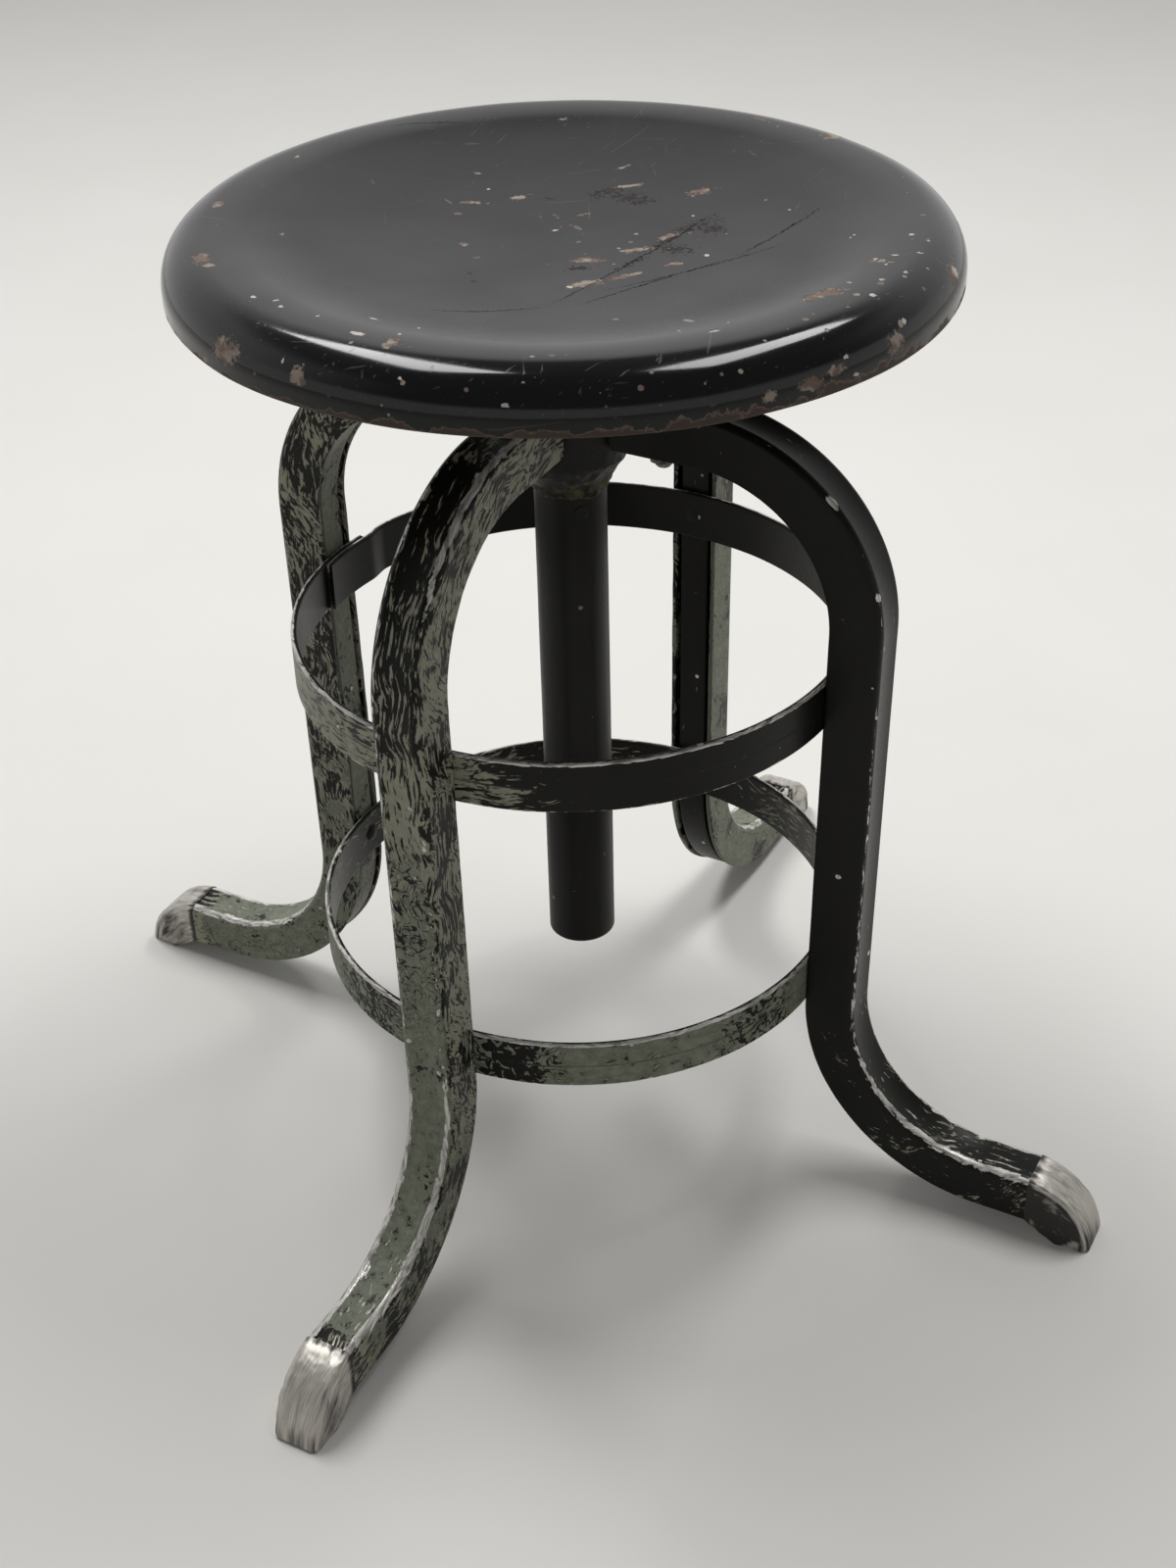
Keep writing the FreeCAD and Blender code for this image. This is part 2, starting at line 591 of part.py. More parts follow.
save("hub_casting", hub_casting())
save("leg_bolts", leg_bolts(channel))
save("leg_nuts", leg_nuts())
save("guard_tube", guard_tube())
save("tube_plugs", tube_plugs())
save("guide_bush", guide_bush())
save("spindle", spindle())
save("foot_washer", foot_washer())
save("foot_screw", foot_screw())
save("seat_flange", seat_flange())
save("cross_pin", cross_rod(CROSS_PIN_RADIUS))
save("seat_studs", seat_studs())
save("stud_nuts", stud_nuts())
save("seat_pan", seat_pan())
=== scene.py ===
"""Finished look of a round metal stool: enamelled seat, aged channel legs and a screw column.

Lengths in the sections, tables and settings are millimetres unless they carry a unit.
The floor is z = 0, the seat turns about the Z axis and the front is -Y.
"""

import math

import bpy
import numpy as np
from mathutils import Matrix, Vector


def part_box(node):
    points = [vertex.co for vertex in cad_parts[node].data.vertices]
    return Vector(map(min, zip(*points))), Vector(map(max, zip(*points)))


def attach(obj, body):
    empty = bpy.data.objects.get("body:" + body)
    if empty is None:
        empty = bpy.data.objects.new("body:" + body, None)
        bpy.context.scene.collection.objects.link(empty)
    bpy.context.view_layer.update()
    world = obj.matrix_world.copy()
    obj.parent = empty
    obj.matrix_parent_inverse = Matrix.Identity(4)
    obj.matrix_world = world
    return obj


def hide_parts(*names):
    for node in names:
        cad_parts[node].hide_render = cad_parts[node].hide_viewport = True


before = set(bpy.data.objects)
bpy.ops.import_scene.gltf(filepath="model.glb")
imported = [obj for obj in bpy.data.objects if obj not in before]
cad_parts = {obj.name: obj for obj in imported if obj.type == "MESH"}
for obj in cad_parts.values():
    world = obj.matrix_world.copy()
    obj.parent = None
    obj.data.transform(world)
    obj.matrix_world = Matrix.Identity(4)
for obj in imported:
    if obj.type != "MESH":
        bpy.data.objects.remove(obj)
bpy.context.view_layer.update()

bl_info = {
    "name": "Screw stool finish",
    "version": (1, 0, 0),
    "blender": (4, 5, 0),
    "location": "3D View > Sidebar > Stool",
    "description": "Builds the detailed surfaces and finishes of a round metal screw stool",
    "category": "Object",
}

MM = 0.001
# Azimuths of the legs in degrees, anticlockwise from +X as seen from above
LEGS = {"front_left": 225.0, "front_right": 315.0, "back_right": 45.0, "back_left": 135.0}
# Sockets of a Mix node that mixes colours
MIX_A, MIX_B, MIX_RESULT = 6, 7, 2


# Settings


def length(name, description, default):
    """A length in millimetres."""
    return bpy.props.FloatProperty(name=name, description=description, default=default, min=0.0)


def colour(name, description, default):
    """A colour, given as an sRGB hex string and kept as linear values."""
    return bpy.props.FloatVectorProperty(
        name=name, description=description, default=linear(default), size=3, min=0.0, max=1.0,
        subtype="COLOR",
    )


def linear(code):
    """The linear red, green and blue of an sRGB hex string."""
    parts = np.array([int(code[i : i + 2], 16) for i in (1, 3, 5)]) / 255
    low, high = parts / 12.92, ((parts + 0.055) / 1.055) ** 2.4
    return tuple(float(v) for v in np.where(parts <= 0.04045, low, high))


class SeatSizes(bpy.types.PropertyGroup):
    """Sizes of the pressed pan."""

    radius: length("Radius", "Outside radius of the pan, in mm", 178.0)
    top: length("Top", "Height of the rim's crest above the floor, in mm", 502.0)
    side: length("Side height", "Height of the rolled rim and skirt, in mm", 25.0)
    sheet: length("Sheet", "Thickness of the pressed sheet, in mm", 2.0)
    rim: length("Rim radius", "Radius of the rolled rim, in mm", 19.0)
    dish: length("Dish depth", "Depth of the dish below the crest, in mm", 14.0)
    blend: length("Blend radius", "Radius between the dish and the crest, in mm", 110.0)
    waviness: length("Waviness", "Unevenness left by pressing and use, in mm", 0.22)


class LegSizes(bpy.types.PropertyGroup):
    """Sizes of the channel legs, their liners and their caps."""

    top: length("Top", "Height of the legs' upper face, in mm", 423.4)
    inside: length("Inside radius", "Radius of the legs' inner edges at the upper band, in mm", 138.8)
    taper: length("Taper", "How much less that radius is at the lower band, in mm", 2.4)
    width: length("Width", "Width and depth of the channel, in mm", 25.4)
    wall: length("Wall", "Thickness of the channel's wall, in mm", 2.6)
    corner: length("Corner radius", "Radius of the channel's outer corners, in mm", 4.0)
    sink: length("Face sink", "How far the outer face is hollowed, in mm", 0.7)
    arch: length("Arch radius", "Radius of the arch's centre line, in mm", 82.7)
    bend: length("Foot bend radius", "Radius of the foot bend's centre line, in mm", 87.3)
    foot: length("Foot clearance", "Height of the foot's underside above the floor, in mm", 10.0)
    run: length("Foot run", "Straight length between the foot bend and the cap, in mm", 25.7)
    cap: length("Cap length", "Length of the cast cap, in mm", 35.0)
    waviness: length("Waviness", "Unevenness of the channel's faces, in mm", 0.12)


class BandSizes(bpy.types.PropertyGroup):
    """Sizes of the flat bands."""

    upper: length("Upper band", "Height of the middle of the upper band, in mm", 288.8)
    lower: length("Lower band", "Height of the middle of the lower band, in mm", 123.4)
    height: length("Band height", "Height of the flat stock, in mm", 26.0)
    thickness: length("Band thickness", "Thickness of the flat stock, in mm", 3.0)


class ColumnSizes(bpy.types.PropertyGroup):
    """Sizes of the screw, its hub and the tube around it."""

    screw: length("Screw radius", "Outside radius of the screw thread, in mm", 12.7)
    lead: length("Lead", "Rise of the seat in one turn, in mm", 6.35)
    thread: length("Thread depth", "Depth of the screw thread, in mm", 2.4)
    tube: length("Tube radius", "Outside radius of the guard tube, in mm", 17.5)
    hub: length("Hub radius", "Outside radius of the hub's barrel, in mm", 28.0)
    grit: length("Casting roughness", "Unevenness of the rough castings, in mm", 0.35)


class FinishColours(bpy.types.PropertyGroup):
    """Colours of the paints, metals and stains."""

    enamel: colour("Seat enamel", "Gloss enamel of the seat", "#070708")
    primer: colour("Primer", "Primer that shows in the seat's chips", "#5f4c42")
    bare: colour("Bare sheet", "Bare metal and filler in the deeper chips", "#81766b")
    rust: colour("Rust", "Rust along the skirt's edge", "#372920")
    scorch: colour("Scorched primer", "Dark mottled patches in the dish", "#1d1512")
    leg_black: colour("Leg black", "Aged black enamel of the legs", "#0a0a08")
    sage: colour("Sage undercoat", "Green undercoat of the legs", "#85897a")
    feather: colour("Feathered crackle", "Dry edges of the crackled enamel", "#a5a28f")
    worn: colour("Worn metal", "Metal that shows where paint has rubbed off", "#dad7d1")
    cap: colour("Cap metal", "Bare brushed metal of the caps", "#cdc9c1")
    # Also used for painted shade on the caps' sides turned away from the lamps
    stain_and_shade: colour("Cap stain", "Dark stain in the caps' hollows", "#26231f")
    grease: colour("Old grease", "Dried grease on the hub's collar", "#4f4a35")
    floor: colour("Floor", "Pale studio floor", "#dedcd8")


class StageSettings(bpy.types.PropertyGroup):
    """Camera and lamps."""

    lens: length("Lens", "Focal length for a frame 36 mm wide, in mm", 67.19)
    key: bpy.props.FloatProperty(
        name="Lamps", description="Power of each overhead softbox, in watts", default=31.0, subtype="POWER"
    )


# Arrays and meshes


def grid(rows, cols, wrap_rows=False, wrap_cols=False):
    """Quads of a grid of rows x cols points, joined end to end where it wraps."""
    i = np.arange(rows if wrap_rows else rows - 1)[:, None]
    j = np.arange(cols if wrap_cols else cols - 1)[None, :]
    i_next, j_next = (i + 1) % rows, (j + 1) % cols
    corners = [i * cols + j, i_next * cols + j, i_next * cols + j_next, i * cols + j_next]
    return np.stack(corners, axis=-1).reshape(-1, 4)


def fan(ring, pole):
    """Triangles from each edge of a closed ring of point numbers to one pole."""
    return np.stack([ring, np.roll(ring, -1), np.full(len(ring), pole)], axis=-1)


def loft(rings):
    """Joins closed rings of points, given as rings x points x 3, and closes both ends.

    Each end gets one pole at the middle of its ring.
    """
    count, size = rings.shape[:2]
    points = np.concatenate([rings.reshape(-1, 3), rings[[0, -1]].mean(axis=1)])
    first, last = np.arange(size), np.arange(size) + (count - 1) * size
    poles = count * size, count * size + 1
    return points, [grid(count, size, wrap_cols=True), fan(first[::-1], poles[0]), fan(last, poles[1])]


def hexagon_radius(flats, angles):
    """Distance from the middle of a hexagon to its sides, with a corner at angle zero."""
    return flats / 2 / np.cos(np.mod(angles, np.pi / 3) - np.pi / 6)


def turned(profile, count, flats=None, reach=0.0, azimuth=0.0):
    """Turns (radius, height) points about an upright axis: x = r cos a, y = r sin a.

    Where `flats` is given, the radius is the least of the profile's and the hexagon's.
    Ends on the axis become poles, and other profiles join end to end. The shape is then
    moved out along X by `reach` and turned about the Z axis by `azimuth`.
    """
    profile = np.asarray(profile, float)
    angles = np.arange(count) * 2 * np.pi / count
    rims = profile[profile[:, 0] > 0]
    radius = np.repeat(rims[:, :1], count, axis=1)
    if flats:
        radius = np.minimum(radius, hexagon_radius(flats, angles)[None, :])
    height = np.repeat(rims[:, 1:], count, axis=1)
    shape = np.stack([radius * np.cos(angles) + reach, radius * np.sin(angles), height], axis=-1)
    poles = [i for i in (0, -1) if profile[i, 0] == 0]
    points = shape.reshape(-1, 3)
    faces = [grid(len(rims), count, wrap_rows=not poles, wrap_cols=True)]
    for i in poles:
        ring = np.arange(count) + (len(rims) - 1) * count * (i == -1)
        points = np.concatenate([points, [[reach, 0, profile[i, 1]]]])
        faces.append(fan(ring if i else ring[::-1], len(points) - 1))
    return about_z(points, azimuth), faces


def about_z(points, azimuth):
    """Turns points about the Z axis by an angle in degrees."""
    a = math.radians(azimuth)
    turn = np.array([[math.cos(a), math.sin(a), 0], [-math.sin(a), math.cos(a), 0], [0, 0, 1]])
    return points @ turn


def several(shapes):
    """One array of points and one list of faces from several shapes."""
    points, faces, start = [], [], 0
    for some_points, some_faces in shapes:
        points.append(some_points)
        faces += [block + start for block in some_faces]
        start += len(some_points)
    return np.concatenate(points), faces


def at_each_leg(profile, count, reach, flats=None):
    """Turned shapes on upright axes, one at a distance of `reach` along each leg."""
    return several([turned(profile, count, flats, reach, azimuth) for azimuth in LEGS.values()])


def pointing_out(profile, count, distance, height, azimuths):
    """Turned shapes on level axes, one at each azimuth.

    The profile's heights become distances from the Z axis, counted from `distance`.
    """
    shapes = []
    for azimuth in azimuths:
        points, faces = turned(profile, count)
        points = np.stack([distance + points[:, 2], points[:, 1], height + points[:, 0]], axis=-1)
        shapes.append((about_z(points, azimuth), faces))
    return several(shapes)


def from_axis(points):
    """Distance of each point from the Z axis."""
    return np.hypot(points[:, 0], points[:, 1])


def bearings(points):
    """Azimuth of each point in degrees, from 0 to 360."""
    return np.degrees(np.arctan2(points[:, 1], points[:, 0])) % 360


def push_out(points, amount):
    """Moves points away from the Z axis in place, each by its own amount."""
    points[:, :2] *= (1 + amount / np.maximum(from_axis(points), 1))[:, None]


def travel(outline):
    """Distance along an outline at each of its points."""
    steps = np.linalg.norm(np.diff(outline, axis=0), axis=1)
    return np.concatenate([[0], np.cumsum(steps)])


def ripple(points, size, seed, waves=24):
    """Smooth unevenness about zero, mostly between -1 and 1.

    It is a sum of cosines along random lines, with wavelengths from size / 1.5 to
    size / 0.6, and half the square root of 2 / waves scales it.
    """
    draw = np.random.default_rng(seed)
    lines = draw.normal(size=(3, waves))
    lines *= 2 * np.pi / size / np.linalg.norm(lines, axis=0) * draw.uniform(0.6, 1.5, waves)
    phases = draw.uniform(0, 2 * np.pi, waves)
    return np.cos(points @ lines + phases).sum(axis=-1) / math.sqrt(waves / 2) / 2


def smooth(value, low, high):
    """Goes smoothly from 0 at `low` to 1 at `high`, which may be the smaller one."""
    t = np.clip((value - low) / (high - low), 0, 1)
    return t * t * (3 - 2 * t)


def arc_points(centre, radius, start, end, count):
    """Evenly spaced points on an arc, with the angles in degrees."""
    a = np.radians(np.linspace(start, end, count))
    return np.stack([centre[0] + radius * np.cos(a), centre[1] + radius * np.sin(a)], axis=-1)


def straight(start, end, count):
    """Evenly spaced points from start to end."""
    return np.linspace(start, end, count)


def triangles(faces):
    """All faces as triangles, quads cut along one diagonal."""
    halves = [f[:, [0, 1, 2]] for f in faces] + [f[:, [0, 2, 3]] for f in faces if f.shape[1] == 4]
    return np.concatenate(halves)


def add_piece(name, shape, body, material, stands_for, marks=None, crease=32.0):
    """Puts points in mm and blocks of faces into a mesh object that rides on a body.

    The six-fold volume is the sum of the triangles' triple products, and the faces are
    turned over where it is negative. `marks` are values at the points for the material.
    """
    points, faces = shape
    corners = points[triangles(faces)]
    volume = np.einsum("ij,ij->", corners[:, 0], np.cross(corners[:, 1], corners[:, 2]))
    if volume < 0:
        faces = [block[:, ::-1] for block in faces]
    mesh = bpy.data.meshes.new(name)
    mesh.from_pydata((points * MM).tolist(), [], [f for block in faces for f in block.tolist()])
    for mark, values in (marks or {}).items():
        kind, field = ("FLOAT", "value") if values.ndim == 1 else ("FLOAT_VECTOR", "vector")
        layer = mesh.attributes.new(mark, kind, "POINT")
        layer.data.foreach_set(field, np.ascontiguousarray(values, np.float32).ravel())
    mesh.shade_smooth()
    mesh.set_sharp_from_angle(angle=math.radians(crease))
    mesh.materials.append(material)
    mesh.update()
    piece = bpy.data.objects.new(name, mesh)
    bpy.context.scene.collection.objects.link(piece)
    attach(piece, body)
    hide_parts(*stands_for)


def refinish(node, material):
    """Gives one material to a node that keeps its CAD mesh."""
    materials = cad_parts[node].data.materials
    materials.clear()
    materials.append(material)


# Finishes


# Index of refraction of enamel, and the weaker reflection of a coat gone dull
ENAMEL_IOR, DULL_SPECULAR = 1.42, 0.22


def new_material(name):
    """The material of that name, emptied, and its node tree."""
    material = bpy.data.materials.get(name) or bpy.data.materials.new(name)
    material.use_nodes = True
    material.node_tree.nodes.clear()
    return material, material.node_tree


def add(tree, kind, inputs=None, **settings):
    """Adds one shader node, sets its properties and fills its inputs with values or sockets."""
    made = tree.nodes.new("ShaderNode" + kind)
    for name, value in settings.items():
        setattr(made, name, value)
    for name, value in (inputs or {}).items():
        if isinstance(value, bpy.types.NodeSocket):
            tree.links.new(value, made.inputs[name])
        else:
            made.inputs[name].default_value = value
    return made.outputs


def every(distance):
    """The scale at which a texture repeats about every `distance` mm."""
    return 1 / (distance * MM)


def rgba(values):
    """A linear colour with full alpha."""
    return (*values, 1.0)


def colours():
    """The colours the user set."""
    return bpy.context.scene.stool_colours


def seat_enamel():
    """Gloss enamel stoved on pressed steel, sat on for decades.

    To the eye it is black and mirror-like at the rim, dulled to satin in the dish by fine
    hairlines, with ragged chips down to brown primer and grey sheet, dark scores where a
    tool slid, and a rusty skirt edge.
    """
    material, tree = new_material("stoved_gloss_enamel")
    c = colours()
    place = add(tree, "TexCoord")["Object"]
    chips, nicks, scorch, wear, hem, dull = (
        add(tree, "Attribute", attribute_name=name)["Fac"]
        for name in ("chips", "nicks", "scorch", "wear", "hem", "dull"))
    # Ragged outlines: the coat breaks off in flakes 1 to 6 mm across
    flakes = add(tree, "TexNoise", {"Vector": place, "Scale": every(3.2), "Detail": 8.0,
                                    "Roughness": 0.76})[0]
    grit = add(tree, "TexNoise", {"Vector": place, "Scale": every(1.7), "Detail": 4.0})[0]
    edge = add(tree, "Math", {0: flakes, 1: 4.4, 2: -2.2}, operation="MULTIPLY_ADD")[0]
    ragged = add(tree, "Math", {0: chips, 1: edge})[0]
    chip = add(tree, "MapRange", {"Value": ragged, "From Min": 0.08, "From Max": 0.13})[0]
    uneven = add(tree, "Math", {0: grit, 1: 1.4, 2: -0.7}, operation="MULTIPLY_ADD")[0]
    nicked = add(tree, "Math", {0: nicks, 1: uneven})[0]
    nick = add(tree, "MapRange", {"Value": nicked, "From Min": 0.1, "From Max": 0.2})[0]
    mottle = add(tree, "Math", {0: grit, 1: 5.0, 2: -2.6}, operation="MULTIPLY_ADD")[0]
    scorched = add(tree, "Math", {0: scorch, 1: mottle})[0]
    smoked = add(tree, "Math", {0: edge, 1: 0.5, 2: scorched}, operation="MULTIPLY_ADD")[0]
    brown = add(tree, "MapRange", {"Value": smoked, "From Min": 0.15, "From Max": 0.35})[0]
    # Pin chips, up to about 2 mm in radius, scattered where the wear mark allows
    cells = add(tree, "TexVoronoi", {"Vector": place, "Scale": every(7)})
    chance = add(tree, "SeparateColor", {"Color": cells["Color"]})
    reach = add(tree, "Math", {0: chance["Red"], 1: wear}, operation="MULTIPLY")[0]
    spot = add(tree, "Math", {0: reach, 1: 0.34, 2: -0.19}, operation="MULTIPLY_ADD")[0]
    rough_spot = add(tree, "Math", {0: flakes, 1: 0.26, 2: spot}, operation="MULTIPLY_ADD")[0]
    pin = add(tree, "Math", {0: rough_spot, 1: cells["Distance"]}, operation="SUBTRACT")[0]
    pin_chip = add(tree, "MapRange", {"Value": pin, "From Min": 0.0, "From Max": 0.03})[0]
    # Rust that climbs from the skirt's edge in ragged tongues
    tongues = add(tree, "TexNoise", {"Vector": place, "Scale": every(13), "Detail": 8.0,
                                     "Roughness": 0.62})[0]
    climb = add(tree, "Math", {0: tongues, 1: 2.6, 2: -1.3}, operation="MULTIPLY_ADD")[0]
    rusty = add(tree, "Math", {0: hem, 1: climb})[0]
    rust = add(tree, "MapRange", {"Value": rusty, "From Min": 0.0, "From Max": 0.05})[0]
    rust_rim = add(tree, "MapRange", {"Value": rusty, "From Min": 0.16, "From Max": 0.05})[0]
    # Thin hairlines along slow curves, drawn by sliding clothes
    bent = add(tree, "TexNoise", {"Vector": place, "Scale": every(160), "Detail": 1.0})
    sway = add(tree, "VectorMath", {0: bent["Color"], "Scale": 0.09}, operation="SCALE")[0]
    swayed = add(tree, "VectorMath", {0: place, 1: sway})[0]
    hairlines = 0.0
    for turn, across, cut in ((0.55, 1.6, 0.68), (-0.35, 2.4, 0.70), (1.25, 3.0, 0.71)):
        lined = add(tree, "Mapping", {"Vector": swayed, "Rotation": (0, 0, turn), "Scale": (45.0, 1.0, 1.0)},
                    vector_type="TEXTURE")[0]
        lines = add(tree, "TexNoise", {"Vector": lined, "Scale": every(across), "Detail": 2.0})[0]
        lit = add(tree, "MapRange", {"Value": lines, "From Min": cut, "From Max": cut + 0.05})[0]
        hairlines = add(tree, "Math", {0: hairlines, 1: lit}, operation="MAXIMUM")[0]
    # Dark scores: each mark holds the distance from a score and a fading to its ends
    scored = 0.0
    wander = add(tree, "Math", {0: flakes, 1: 0.006, 2: -0.003}, operation="MULTIPLY_ADD")[0]
    for number in range(len(SCORES)):
        mark = add(tree, "Attribute", attribute_name=f"score_{number}")["Vector"]
        parts = add(tree, "SeparateXYZ", {"Vector": mark})
        strayed = add(tree, "Math", {0: parts["X"], 1: wander})[0]
        away = add(tree, "Math", {0: strayed}, operation="ABSOLUTE")[0]
        breadth = add(tree, "Math", {0: parts["Y"], 1: grit}, operation="MULTIPLY")[0]
        line = add(tree, "Math", {0: breadth, 1: 0.0010, 2: -0.00008}, operation="MULTIPLY_ADD")[0]
        inside = add(tree, "Math", {0: line, 1: away}, operation="SUBTRACT")[0]
        cut = add(tree, "MapRange", {"Value": inside, "From Min": 0.0, "From Max": 0.0002})[0]
        scored = add(tree, "Math", {0: scored, 1: cut}, operation="MAXIMUM")[0]
    drift = add(tree, "TexNoise", {"Vector": place, "Scale": every(60), "Detail": 5.0})[0]
    haze = add(tree, "MapRange", {"Value": drift, "From Min": 0.4, "From Max": 0.7})[0]
    # Colour, from the whole coat down to the sheet
    scuffed = add(tree, "Math", {0: hairlines, 1: 0.2}, operation="MULTIPLY")[0]
    coat = add(tree, "Mix", {0: scuffed, MIX_A: rgba(c.enamel), MIX_B: rgba(linear("#6c665f"))},
               data_type="RGBA")[MIX_RESULT]
    depth = add(tree, "TexNoise", {"Vector": place, "Scale": every(8), "Detail": 5.0})[0]
    deep = add(tree, "MapRange", {"Value": depth, "From Min": 0.47, "From Max": 0.55})[0]
    below = add(tree, "Mix", {0: deep, MIX_A: rgba(c.primer), MIX_B: rgba(c.bare)},
                data_type="RGBA")[MIX_RESULT]
    broken = add(tree, "Math", {0: chip, 1: pin_chip}, operation="MAXIMUM")[0]
    smoky = add(tree, "Mix", {0: brown, MIX_A: coat, MIX_B: rgba(c.scorch)},
                data_type="RGBA")[MIX_RESULT]
    chipped = add(tree, "Mix", {0: broken, MIX_A: smoky, MIX_B: below}, data_type="RGBA")[MIX_RESULT]
    picked = add(tree, "Mix", {0: nick, MIX_A: chipped, MIX_B: rgba(linear("#aba59e"))},
                 data_type="RGBA")[MIX_RESULT]
    bloom = add(tree, "Mix", {0: rust_rim, MIX_A: rgba(c.rust), MIX_B: rgba(c.primer)},
                data_type="RGBA")[MIX_RESULT]
    edged = add(tree, "Mix", {0: rust, MIX_A: picked, MIX_B: bloom}, data_type="RGBA")[MIX_RESULT]
    dark = add(tree, "Math", {0: scored, 1: 0.6}, operation="MULTIPLY")[0]
    seen = add(tree, "Mix", {0: dark, MIX_A: edged, MIX_B: rgba(linear("#0b0a0a"))},
               data_type="RGBA")[MIX_RESULT]
    # Roughness: 0.09 at the rim, 0.33 in the dish, a little more where hazy, 0.62 where the coat is gone
    hazy = add(tree, "Math", {0: haze, 1: 0.07}, operation="MULTIPLY")[0]
    gloss = add(tree, "Math", {0: dull, 1: 0.24, 2: 0.09}, operation="MULTIPLY_ADD")[0]
    soft = add(tree, "Math", {0: gloss, 1: hazy})[0]
    lined = add(tree, "Math", {0: hairlines, 1: 0.15, 2: soft}, operation="MULTIPLY_ADD")[0]
    bare = add(tree, "Math", {0: broken, 1: nick}, operation="MAXIMUM")[0]
    gone = add(tree, "Math", {0: bare, 1: rust}, operation="MAXIMUM")[0]
    lost = add(tree, "Math", {0: gone, 1: brown}, operation="MAXIMUM")[0]
    worn = add(tree, "MapRange", {"Value": lost, "To Min": lined, "To Max": 0.62})[0]
    rough = add(tree, "MapRange", {"Value": scored, "To Min": worn, "To Max": 0.95})[0]
    # Height: the coat is 0.15 mm thick, and its flow leaves a slight orange peel
    peel = add(tree, "TexNoise", {"Vector": place, "Scale": every(3.5), "Detail": 2.0})[0]
    flow = add(tree, "Math", {0: peel, 1: 0.05}, operation="MULTIPLY")[0]
    step = add(tree, "Math", {0: flow, 1: gone}, operation="SUBTRACT")[0]
    dug = add(tree, "Math", {0: scored, 1: -0.7, 2: step}, operation="MULTIPLY_ADD")[0]
    pitted = add(tree, "Math", {0: brown, 1: -0.35, 2: dug}, operation="MULTIPLY_ADD")[0]
    height = add(tree, "Math", {0: hairlines, 1: -0.05, 2: pitted}, operation="MULTIPLY_ADD")[0]
    bump = add(tree, "Bump", {"Height": height, "Distance": 0.15 * MM, "Strength": 0.9})[0]
    burnt = add(tree, "Math", {0: scored, 1: brown}, operation="MAXIMUM")[0]
    sheen = add(tree, "MapRange", {"Value": burnt, "To Min": 0.5, "To Max": 0.27})[0]
    surface = add(tree, "BsdfPrincipled", {"Base Color": seen, "Roughness": rough, "Normal": bump,
                                           "IOR": ENAMEL_IOR, "Specular IOR Level": sheen})[0]
    add(tree, "OutputMaterial", {"Surface": surface})
    return material


